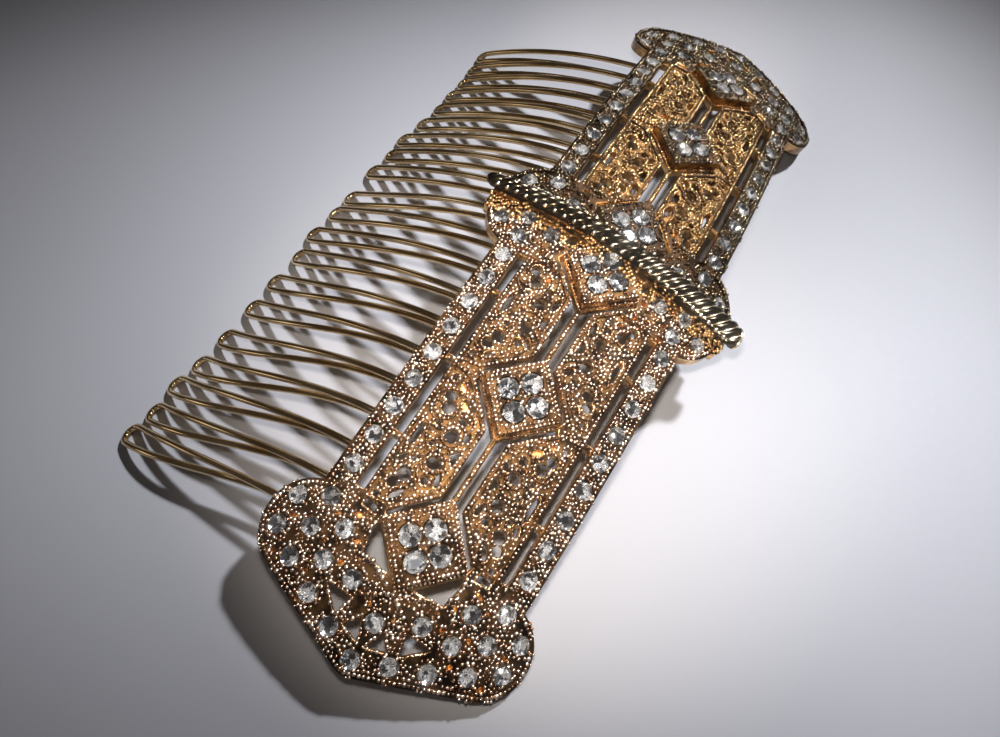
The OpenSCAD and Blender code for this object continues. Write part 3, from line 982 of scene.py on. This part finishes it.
def grains_build(kept):
    shape, faces = grain_template()
    kept = np.array(kept)
    xy, height, size = kept[:, :2], kept[:, 2], kept[:, 3]
    up = unit(upward(xy) + np.random.default_rng(11).normal(0, GRAIN_LEAN, (len(kept), 3)))
    placed = raised(xy, height)[:, None] + size[:, None, None] * stood(shape, up)
    build = Build()
    build.points = [placed.reshape(-1, 3)]
    for k in range(len(kept)):
        build.faces.extend([[i + k * len(shape) for i in face] for face in faces])
    in_lace = inside(xy, FIELD) & ~inside(xy, DIAMONDS)
    for mark in np.where(xy[:, 0] < FRILL_END, FRILL_BEAD, np.where(in_lace, LACE_BEAD, BORDER_BEAD)):
        build.marks.extend([int(mark)] * len(faces))
    return build


# ---- stones

TABLE_SHARE = 0.58
CROWN = 0.34
PAVILION = 0.72
GIRDLE_HALF = 0.02
STAR_R = 0.8
STONE_TIP = math.radians(2.0)
# The foiled back's rings. Columns: radius, depth of the even and of the odd corners.
BACK_RINGS = [[0.72, 0.46, 0.26], [0.42, 0.34, 0.6], [0.17, 0.6, 0.46]]


def brilliant():
    """A round brilliant of radius 1: points, faces of the crown, faces of the foiled back."""
    half = math.pi / 8

    def ring(count, radius, z, turn=0.0):
        return [[radius * math.cos(turn + k * 2 * math.pi / count),
                 radius * math.sin(turn + k * 2 * math.pi / count), z] for k in range(count)]

    slope = CROWN / (1 - TABLE_SHARE)
    star_z = CROWN - slope * (STAR_R * math.cos(half) - TABLE_SHARE)
    points = (ring(8, TABLE_SHARE, CROWN) + ring(8, STAR_R, star_z, half)
              + ring(16, 1, GIRDLE_HALF) + ring(16, 1, -GIRDLE_HALF))
    star, top, low = 8, 16, 32
    crown = [tuple(range(8))]
    for k in range(8):
        n = (k + 1) % 8
        g, mid, g2 = 2 * k, 2 * k + 1, (2 * k + 2) % 16
        before = (k + 7) % 8
        crown.append((k, star + before, top + g, star + k))
        crown.append((k, star + k, n))
        crown.append((star + k, top + g, top + mid))
        crown.append((star + k, top + mid, top + g2))
        crown.append((top + g, low + g, low + mid, top + mid))
        crown.append((top + mid, low + mid, low + g2, top + g2))
    back = []
    outer = low
    for r, (radius, even, odd) in enumerate(BACK_RINGS):
        inner = len(points)
        turn = math.pi / 16 * ((r + 1) % 2)
        points += [[*spot[:2], -(odd if k % 2 else even)]
                   for k, spot in enumerate(ring(16, radius, 0, turn))]
        for k in range(16):
            n = (k + 1) % 16
            if r % 2 == 0:
                back += [(outer + n, outer + k, inner + k), (outer + n, inner + k, inner + n)]
            else:
                back += [(outer + n, outer + k, inner + n), (outer + k, inner + k, inner + n)]
        outer = inner
    points.append([0, 0, -PAVILION])
    back += [(outer + (k + 1) % 16, outer + k, len(points) - 1) for k in range(16)]
    return np.array(points), crown, back


STONE_SHAPE, STONE_CROWN, STONE_BACK = brilliant()


def add_stone(build, place, lift, radius):
    """A stone in its seat, turned and tipped a little as a hand sets it."""
    centre, up = on_dome(place, lift)
    lean = [random.uniform(-STONE_TIP, STONE_TIP) for _ in range(2)]
    up = unit(up + np.array([*lean, 0]))
    points = centre + radius * stood(STONE_SHAPE, up, random.uniform(0, math.pi / 4))
    build.add(points, STONE_CROWN, 0)
    build.add(points, STONE_BACK, 1)


# ---- wire

def add_tube(build, path, radius, sides, closed=False, side_hint=(0.3, 0.0, 1.0), mark=0):
    """A round wire along a path, closed in a loop or capped at its ends."""
    path = np.asarray(path, float)
    n = len(path)
    ahead, behind = np.roll(path, -1, axis=0), np.roll(path, 1, axis=0)
    if not closed:
        ahead[-1], behind[0] = path[-1], path[0]
    t = unit(ahead - behind)
    a = unit(np.cross(t, np.asarray(side_hint, float)))
    b = np.cross(t, a)
    radius = np.broadcast_to(radius, (n,))
    turn = np.arange(sides) * 2 * math.pi / sides
    rings = path[:, None] + radius[:, None, None] * (
        a[:, None] * np.cos(turn)[None, :, None] + b[:, None] * np.sin(turn)[None, :, None])
    faces = []
    for k in range(n if closed else n - 1):
        j = (k + 1) % n
        for s in range(sides):
            r = (s + 1) % sides
            faces.append((k * sides + s, k * sides + r, j * sides + r, j * sides + s))
    if not closed:
        faces.append(tuple(range(sides - 1, -1, -1)))
        faces.append(tuple((n - 1) * sides + s for s in range(sides)))
    build.add(rings.reshape(-1, 3), faces, mark)


def bezier(a, b, c, d, t):
    t = t[:, None]
    return (1 - t) ** 3 * a + 3 * t * (1 - t) ** 2 * b + 3 * t * t * (1 - t) * c + t ** 3 * d


def tooth_path(i):
    """One tooth's closed loop on the table, in mm: round the tip, up, round the bar and back."""
    place = ((TOOTH_COUNT + 1) / 2 - i) * TOOTH_PITCH
    lean, extra = TOOTH_BENDS[i - 1]
    tip_y = SHIFT - TIP_REACH - extra + LOOP_HALF * math.cos(TIP_SLOPE) + WIRE_R
    tip = np.array([TIP_SHIFT + place + lean, tip_y, WIRE_R + LOOP_HALF * math.sin(TIP_SLOPE)])
    turn = (ROOT_SHIFT + place) / ARCH_R
    reach = ARCH_R + BAR_Z
    root = on_table([reach * math.sin(turn), BAR_Y, reach * math.cos(turn) - ARCH_R]) / MM
    up = HOOK_R * np.array([math.sin(turn), 0, math.cos(turn)])
    slope = np.array([0, math.cos(TIP_SLOPE), math.sin(TIP_SLOPE)])
    lead = np.array([0, math.cos(ROOT_SLOPE), math.sin(ROOT_SLOPE)])
    side = np.array([LOOP_HALF, 0, 0])
    t = np.linspace(0, 1, 30)[1:-1]

    def leg(foot, end):
        return bezier(foot, foot + PULL * slope, end - PULL * lead, end, t)

    arc = np.radians(np.arange(0, 181, 12))[:, None]
    bend = tip + np.cos(arc) * side - LOOP_HALF * np.sin(arc) * slope
    hook_turn = np.radians(np.arange(90, -91, -12))[:, None]
    hook = root + np.cos(hook_turn) * np.array([0, HOOK_R, 0]) + np.sin(hook_turn) * up
    return np.vstack([bend, leg(tip - side, root + up), hook, leg(tip + side, root - up)[::-1]])


# ---- the rope

def add_bead(build, spot, up, radius, mark):
    """One bead standing on a spot."""
    shape, faces = grain_template()
    build.add(spot + radius * stood(shape, up), faces, mark)


def rope_line(b):
    """The rope's middle at turns b round the dome, and the direction that stands on the dome there."""
    up = np.stack([np.zeros_like(b), np.sin(b), np.cos(b)], -1)
    return (DOME_R + ROPE_LIFT) * up - np.array([0, 0, DOME_R]), up


def rope_spread(s):
    """How far the strands' middles lie from the rope's middle, at a distance along it."""
    share = (s / ROPE_HALF + 1) / 2
    return ROPE_SPREADS[0] + (ROPE_SPREADS[1] - ROPE_SPREADS[0]) * share


def rope_build():
    """The strands laid round a core, with their groove wires, side beads and collar."""
    build = Build()
    s = np.linspace(-ROPE_HALF, ROPE_HALF, ROPE_STEPS)
    middle, out = rope_line(s / DOME_R)
    spread = rope_spread(s)[:, None]
    across = np.array([1.0, 0, 0])
    taper = np.sqrt(np.clip(1 - np.clip((np.abs(s) - ROPE_HALF + ROPE_R) / ROPE_R, 0, 1) ** 2, 0.02, 1))

    def wound(turn, width, height):
        """A line that winds round the rope's middle."""
        return middle + taper[:, None] * (
            width * np.cos(turn)[:, None] * across + height * np.sin(turn)[:, None] * out)

    for side in (-1, 0, 1):
        add_tube(build, middle + CORE_SHARE * side * spread * across, ROPE_CORE_R * taper, 12)
    grooved = s > GROOVE_START
    for strand in range(ROPE_STRANDS):
        turn = 2 * math.pi * (s / ROPE_TURN + strand / ROPE_STRANDS)
        strand_r = STRAND_R * (STRAND_END + (1 - STRAND_END) * taper)
        add_tube(build, wound(turn, spread, ROPE_R - STRAND_R), strand_r, 10)
        between_strands = turn + math.pi / ROPE_STRANDS
        groove = wound(between_strands, GROOVE_SHARE * spread + GROOVE_OUT, ROPE_R - GROOVE_SINK)
        # The groove wires take the cream finish, painted highlights along the strands' rims.
        add_tube(build, groove[grooved][::2], GROOVE_WIRE_R * taper[grooved][::2], 6, mark=1)
    # The side beads take the cream finish too, painted glints along the rope's edges.
    count = int((ROPE_HALF - BEADS_BACK) * 2 * ROPE_STRANDS / ROPE_TURN)
    for side in (-1, 1):
        for k in range(-count // 2 + 1, count // 2):
            b = (k + 0.25 * side) * ROPE_TURN / ROPE_STRANDS / DOME_R
            core, up = rope_line(b)
            spot = core + side * (rope_spread(b * DOME_R) + GROOVE_OUT) * across + BEAD_LIFT * up
            add_bead(build, spot, unit(BEAD_LEAN * side * across + up), ROPE_BEAD_R, 1)
    turn = np.arange(0, 2 * math.pi, 0.2)[:, None]
    b = (ROPE_HALF - COLLAR_BACK) / DOME_R
    core, up = rope_line(b)
    ahead = np.array([0, math.cos(b), -math.sin(b)])
    ring = core + COLLAR_R * (
        np.cos(turn) * (COLLAR_WIDTH * across + math.tan(COLLAR_LEAN) * ahead) + np.sin(turn) * up)
    add_tube(build, ring, COLLAR_WIRE_R, 8, True, ahead, mark=1)
    return build


# ---- finishes

class Signal:
    """A value that changes over a surface; arithmetic on it adds Math nodes."""

    def __init__(self, finish, socket):
        self.finish = finish
        self.socket = socket

    def math(self, operation, other, swapped=False):
        values = [other, self] if swapped else [self, other]
        return self.finish.node("ShaderNodeMath", {"operation": operation}, dict(enumerate(values)))

    def __add__(self, other):
        return self.math("ADD", other)

    def __sub__(self, other):
        return self.math("SUBTRACT", other)

    def __rsub__(self, other):
        return self.math("SUBTRACT", other, True)

    def __mul__(self, other):
        return self.math("MULTIPLY", other)

    __radd__ = __add__
    __rmul__ = __mul__


class Finish:
    """One material and its nodes."""

    def __init__(self, name, **constants):
        self.material = bpy.data.materials.new(name)
        self.material.use_nodes = True
        self.tree = self.material.node_tree
        self.shader = self.tree.nodes["Principled BSDF"]
        self.dress(**constants)

    def feed(self, node, values):
        for key, value in values.items():
            if isinstance(value, Signal):
                self.tree.links.new(value.socket, node.inputs[key])
            else:
                node.inputs[key].default_value = value

    def node(self, kind, settings=None, values=None, out=0):
        """A node with its settings, then the values or links of its sockets."""
        node = self.tree.nodes.new(kind)
        for key, value in (settings or {}).items():
            setattr(node, key, value)
        self.feed(node, values or {})
        return Signal(self, node.outputs[out])

    def place(self):
        return self.node("ShaderNodeTexCoord", out="Object")

    def noise(self, scale, detail=2.0):
        return self.node("ShaderNodeTexNoise", None,
                         {"Vector": self.place(), "Scale": scale, "Detail": detail})

    def steps(self, signal, low, high):
        """0 below low, 1 above high, smooth between."""
        return self.node("ShaderNodeMapRange", {"interpolation_type": "SMOOTHSTEP"},
                         {"Value": signal, "From Min": low, "From Max": high})

    def blend(self, share, dark, light):
        """A colour between two others."""
        colours = {0: share, 6: (*dark, 1), 7: (*light, 1)}
        return self.node("ShaderNodeMix", {"data_type": "RGBA"}, colours, out=2)

    def bump(self, height, strength, distance):
        return self.node("ShaderNodeBump", None,
                         {"Height": height, "Strength": strength, "Distance": distance})

    def dress(self, **inputs):
        """Feeds the shader's own sockets, with _ for each space in their names."""
        self.feed(self.shader, {key.replace("_", " "): value for key, value in inputs.items()})
        return self.material


def cast_finish(name, dark, light, roughness, relief=0.35, patch=420.0):
    """Gold plate over a casting: patches of tone over a soft fine grain."""
    look = Finish(name, Metallic=1.0)
    patches = look.steps(look.noise(patch, 3.0), 0.35, 0.68)
    fine = look.noise(2600.0, 2.0)
    tone = look.blend(patches, dark, light)
    return look.dress(Base_Color=tone, Roughness=roughness + 0.12 * (fine - 0.5) + 0.05 * patches,
                      Normal=look.bump(fine, relief, 0.00005))


def wire_finish():
    look = Finish("polished_gold_wire", Metallic=1.0)
    patches = look.noise(160.0, 2.0)
    fine = look.noise(1500.0, 3.0)
    tone = look.blend(look.steps(patches, 0.35, 0.7), (0.56, 0.4, 0.21), (0.88, 0.69, 0.43))
    return look.dress(Base_Color=tone, Roughness=0.05 + 0.05 * fine,
                      Normal=look.bump(look.noise(700.0, 2.0), 0.12, 0.00003))


def glass_finish():
    """The clear crown: a thin bright gloss over the foil below it."""
    look = Finish("rhinestone_glass", Metallic=1.0, Alpha=0.2)
    haze = look.noise(900.0, 2.0)
    tint = look.blend(haze, (0.93, 0.97, 1.0), (1.0, 1.0, 1.0))
    return look.dress(Base_Color=tint, Roughness=0.03 + 0.04 * look.steps(haze, 0.45, 0.75))


def foil_finish():
    """Silvered facets behind the glass, some of them satin, with cells of facets painted light and dark as
    painted reflections.
    """
    look = Finish("rhinestone_foil", Metallic=0.84)
    haze = look.noise(700.0, 2.0)
    cells = look.node("ShaderNodeTexVoronoi", None, {"Vector": look.place(), "Scale": 1700.0}, out=1)
    # Painted reflections: Voronoi cells give each patch of facets its own bright or dark tone.
    painted_flash = look.node("ShaderNodeSeparateColor", None, {"Color": cells})
    tone = look.blend(look.steps(painted_flash, 0.25, 0.75), (0.13, 0.135, 0.15), (0.97, 0.98, 1.0))
    return look.dress(Base_Color=tone, Roughness=0.06 + 0.12 * look.steps(haze, 0.35, 0.65))


def table_finish():
    look = Finish("pale_table")
    cloud = look.noise(14.0, 3.0)
    grain = look.noise(1400.0, 2.0)
    tone = look.blend(cloud, (0.22, 0.222, 0.245), (0.23, 0.232, 0.255))
    return look.dress(Base_Color=tone, Roughness=0.62 + 0.1 * grain,
                      Normal=look.bump(grain, 0.12, 0.00004))


# The casting's face: antique patina in part, and painted shade that darkens the ground between the grains.
CAST_TOP = cast_finish("antique_gold_face_painted_shade", (0.009, 0.005, 0.003), (0.09, 0.046, 0.018), 0.48, patch=700.0)
# The far half's face: a darker copy of the near face, painted shade for its dimmer light.
FAR_TOP = cast_finish("far_gold_face_painted_shade", (0.009, 0.005, 0.003), (0.04, 0.02, 0.01), 0.5)
CAST_SIDE = cast_finish("warm_gold_walls", (0.34, 0.18, 0.065), (1.0, 0.66, 0.31), 0.26, patch=700.0)
CAST_DARK = cast_finish("dark_gold_petals", (0.02, 0.012, 0.007), (0.07, 0.04, 0.022), 0.4, 0.15)
# The lace ground in the cartouches: dark brown as painted shade of its recesses, kept dark against the key's
# reflection.
CAST_LACE = cast_finish("lace_gold_painted_shade", (0.012, 0.006, 0.003), (0.12, 0.062, 0.022), 0.5, patch=900.0)
GRAIN_GOLD = cast_finish("bright_gold_grains", (0.34, 0.18, 0.1), (1.0, 0.83, 0.68), 0.23, patch=1300.0)
# The far half's lace grains: a darker, more orange copy of the near grains, painted shade.
FAR_GOLD = cast_finish("far_lace_grains_painted_shade", (0.1, 0.048, 0.016), (0.88, 0.6, 0.29), 0.18, patch=1300.0)
# The far half's walls: a darker copy of the near walls, painted shade.
FAR_SIDE = cast_finish("far_gold_walls_painted_shade", (0.2, 0.11, 0.045), (0.7, 0.44, 0.2), 0.27)
# The far half's border and frill grains: darkened copies of the grain gold, painted shade.
FAR_DARK = cast_finish("far_border_grains_painted_shade", (0.03, 0.022, 0.014), (0.36, 0.28, 0.18), 0.14, patch=1300.0)
# The frill grains beside the rope: a lighter copy of the grain gold, painted light where the rope shades
# them.
FRILL_GOLD = cast_finish("orange_gold_frill_painted_light", (0.66, 0.38, 0.15), (1.0, 0.72, 0.4), 0.34)
# The rope's strands: near-black, painted shade for the dark room they mirror.
ROPE_GOLD = cast_finish("dark_gold_rope_painted_shade", (0.02, 0.015, 0.01), (0.1, 0.078, 0.05), 0.17, 0.05)
# The collar, and the rope's groove wires and side beads: cream gold, painted highlights for the strands'
# rims and glints.
COLLAR_AND_PAINTED_GLINTS = cast_finish("cream_gold_collar_and_painted_glints", (0.8, 0.62, 0.4), (1.0, 0.88, 0.7), 0.22, 0.1)
WIRE_GOLD = wire_finish()
GLASS = glass_finish()
FOIL = foil_finish()


# ---- the pieces

# Each half's finishes, in the order of TOP, SIDE, DARK, LACE and of LACE_BEAD, FRILL_BEAD, BORDER_BEAD.
NEAR_METAL = [CAST_TOP, CAST_SIDE, CAST_DARK, CAST_LACE]
# The far half's finishes are darker copies of the near ones, painted shade.
FAR_METAL = [FAR_TOP, FAR_SIDE, CAST_DARK, CAST_LACE]
# The near frill grains take the lighter frill finish, painted light.
NEAR_GRAINS = [GRAIN_GOLD, FRILL_GOLD, GRAIN_GOLD]
FAR_GRAINS = [FAR_GOLD, FAR_DARK, FAR_DARK]


def settle(piece, slot, *nodes):
    """Ties a piece to the comb; it takes the place of the nodes named. The slot is not used."""
    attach(piece, "root")
    if nodes:
        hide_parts(*nodes)


def make_half(half):
    far = half == "far"
    start = (WEB_HALF * PITCH + FAR_GAP) if far else -WEB_HALF * PITCH
    metal, bead_metal = (FAR_METAL, FAR_GRAINS) if far else (NEAR_METAL, NEAR_GRAINS)
    casting = cast_half(start, not far).make(half + "_casting", metal, far, sharp=38)
    settle(casting, "cast_gold", half + "_plate")
    kept = [grain for grain in GRAINS if grain[0] - grain[3] > (start if far else WEB_HALF * PITCH)]
    settle(grains_build(kept).make(half + "_grains", bead_metal, far), "cast_gold")
    sets = [(f"{half}_border_stones", BORDER_PLACES, GIRDLE_LIFT, SMALL_STONE_R),
            (f"{half}_end_stones", END_PLACES, GIRDLE_LIFT, SMALL_STONE_R)]
    sets += [(f"{half}_diamond_{d}_stone_{n}", [place], DIAMOND_RISE + GIRDLE_LIFT, LARGE_STONE_R)
             for d, u in enumerate(DIAMOND_U, 1) for n, place in enumerate(cluster_places(u), 1)]
    for node, places, lift, radius in sets:
        build = Build()
        for place in places:
            add_stone(build, place, lift, radius)
        settle(build.make(node + "_cut", [GLASS, FOIL], far, smooth=False), "rhinestone", node)


GRAINS = half_grains(WEB_HALF * PITCH).kept
for half in ("near", "far"):
    make_half(half)

settle(rope_build().make("twisted_rope", [ROPE_GOLD, COLLAR_AND_PAINTED_GLINTS]), "cast_gold", "rope_ridge")

for i in range(1, TOOTH_COUNT + 1):
    build = Build()
    add_tube(build, tooth_path(i), WIRE_R, 12, True, (1.0, 0, 1.0))
    settle(build.make(f"hairpin_{i:02d}", [WIRE_GOLD], posed=True), "gold_wire", f"tooth_{i:02d}")

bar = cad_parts["spine_bar"]
bar.data.materials.clear()
bar.data.materials.append(WIRE_GOLD)


# ---- table, light and camera

TABLE_HALF = 1.5
COOL_WHITE = (0.97, 0.98, 1.0)
WARM_WHITE = (1.0, 0.9, 0.78)
WARM_PANEL = (1.0, 0.88, 0.75)
ROOM_TONE = (1.0, 0.86, 0.74, 1)
ROOM_STRENGTH = 0.05
# The key light stands KEY_DISTANCE m from its foot on the table; the foot is in mm. Columns of the
# cones: name, the place aimed at in mm, power, width in degrees.
KEY_FOOT = [-6, 36, 0]
KEY_TOWARD = np.array([-0.627, 0.143, 0.766])
KEY_DISTANCE = 0.6
KEY_RADIUS = 0.022
KEY_CONES = [["key", [1, 60, 0], 25, 8.4], ["key_spread", [-17, 15, 0], 31, 15],
             ["key_side", [16, -45, 0], 18, 12]]
# A small light beside the camera, its place in mm. Columns of its cones: as above.
FRONT = [36.6, 16.7, 74.9]
FRONT_RADIUS = 0.003
FRONT_CONES = [["front", [14.4, 10.7, 0], 0.45, 64], ["front_far", [-30, 1, 8], 0.54, 29]]
# Soft panels round the table. Columns of the low ones: azimuth and elevation in degrees, width and
# height in m, brightness. The high ones are alike: the last three columns are in HIGH_PANEL.
PANEL_DISTANCE = 0.5
PANEL_GAIN = 0.75
LOW_PANELS = [[0, 14, 0.18, 0.09, 1.3], [52, 15, 0.18, 0.09, 1.2], [122, 14, 0.16, 0.08, 0.9],
              [232, 14, 0.16, 0.08, 0.9], [305, 14, 0.18, 0.09, 1.3]]
HIGH_PANELS = [[29, 62], [80, 55], [130, 70], [-20, 50], [-80, 58], [60, 80], [-60, 76], [10, 38], [100, 38]]
HIGH_PANEL = [0.055, 0.055, 1.8]
# The camera's place and aim in mm, its turn about its own line of sight, and its lens in mm.
CAMERA_AT = [44.163, 21.437, 70.447]
CAMERA_AIM = [13.33, 4.42, 0]
CAMERA_ROLL = math.radians(2.65)
SENSOR_WIDTH = 36.0
LENS = 23.04
# How the bright points of the picture spread.
SPARKLE = [["Threshold", 0.9], ["Clamp", True], ["Maximum", 4.0], ["Strength", 0.5], ["Size", 0.1],
           ["Saturation", 0.8]]


def in_metres(place):
    return np.array(place) * MM


def stage_floor():
    corners = [(x * TABLE_HALF, y * TABLE_HALF, 0) for x, y in ((-1, -1), (1, -1), (1, 1), (-1, 1))]
    mesh = bpy.data.meshes.new("table_top")
    mesh.from_pydata(corners, [], [(0, 1, 2, 3)])
    mesh.materials.append(table_finish())
    added("table_top", mesh)


def lamp(kind, name, position, target, colour, power, **settings):
    """A light at a position in m, turned towards a target."""
    data = bpy.data.lights.new(name, kind)
    data.color = colour
    data.energy = power
    for key, value in settings.items():
        setattr(data, key, value)
    light = added(name, data)
    light.location = position
    light.rotation_euler = (Vector(target) - Vector(position)).to_track_quat("-Z", "Y").to_euler()
    return light


def cones(table, position, colour, radius):
    """Soft-edged spotlights that share one place."""
    return [lamp("SPOT", name, position, in_metres(aim), colour, power, shadow_soft_size=radius,
                 spot_size=math.radians(width), spot_blend=1.0) for name, aim, power, width in table]


def stage_lights():
    cones(KEY_CONES, in_metres(KEY_FOOT) + KEY_DISTANCE * KEY_TOWARD, COOL_WHITE, KEY_RADIUS)
    for light in cones(FRONT_CONES, in_metres(FRONT), WARM_WHITE, FRONT_RADIUS):
        light.visible_camera = False
    panels = [[*low, WARM_PANEL] for low in LOW_PANELS]
    panels += [[*high, *HIGH_PANEL, COOL_WHITE] for high in HIGH_PANELS]
    for k, (azimuth, elevation, width, height, brightness, colour) in enumerate(panels):
        a, e = math.radians(azimuth), math.radians(elevation)
        toward = np.array([math.cos(a) * math.cos(e), math.sin(a) * math.cos(e), math.sin(e)])
        power = PANEL_GAIN * brightness * math.pi * width * height
        lamp("AREA", f"panel_{k}", PANEL_DISTANCE * toward, (0, 0, 0), colour, power,
             shape="RECTANGLE", size=width, size_y=height)
    world = bpy.data.worlds.new("dim_room")
    world.use_nodes = True
    backdrop = world.node_tree.nodes["Background"]
    backdrop.inputs["Color"].default_value = ROOM_TONE
    backdrop.inputs["Strength"].default_value = ROOM_STRENGTH
    bpy.context.scene.world = world
    bpy.context.scene.view_settings.view_transform = "Standard"


def add_sparkle():
    """The bright points spread a little, as in a lens."""
    scene = bpy.context.scene
    scene.use_nodes = True
    tree = scene.node_tree
    tree.nodes.clear()
    picture = tree.nodes.new("CompositorNodeRLayers")
    glare = tree.nodes.new("CompositorNodeGlare")
    glare.glare_type = "BLOOM"
    for name, value in SPARKLE:
        glare.inputs[name].default_value = value
    result = tree.nodes.new("CompositorNodeComposite")
    tree.links.new(picture.outputs["Image"], glare.inputs["Image"])
    tree.links.new(glare.outputs["Image"], result.inputs["Image"])


def stage_camera():
    """The photograph's view, for an image 1000 wide and 737 high."""
    position = in_metres(CAMERA_AT)
    forward = unit(in_metres(CAMERA_AIM) - position)
    level = unit(np.cross(forward, [0, 0, 1]))
    over = np.cross(level, forward)
    right = level * math.cos(CAMERA_ROLL) + over * math.sin(CAMERA_ROLL)
    up = over * math.cos(CAMERA_ROLL) - level * math.sin(CAMERA_ROLL)
    data = bpy.data.cameras.new("camera")
    data.sensor_width = SENSOR_WIDTH
    data.lens = LENS
    data.clip_start = 0.001
    data.clip_end = 10.0
    camera = added("camera", data)
    columns = np.column_stack([right, up, -forward])
    camera.matrix_world = Matrix.Translation(Vector(position)) @ Matrix(columns.tolist()).to_4x4()
    bpy.context.scene.camera = camera


stage_floor()
stage_lights()
add_sparkle()
stage_camera()
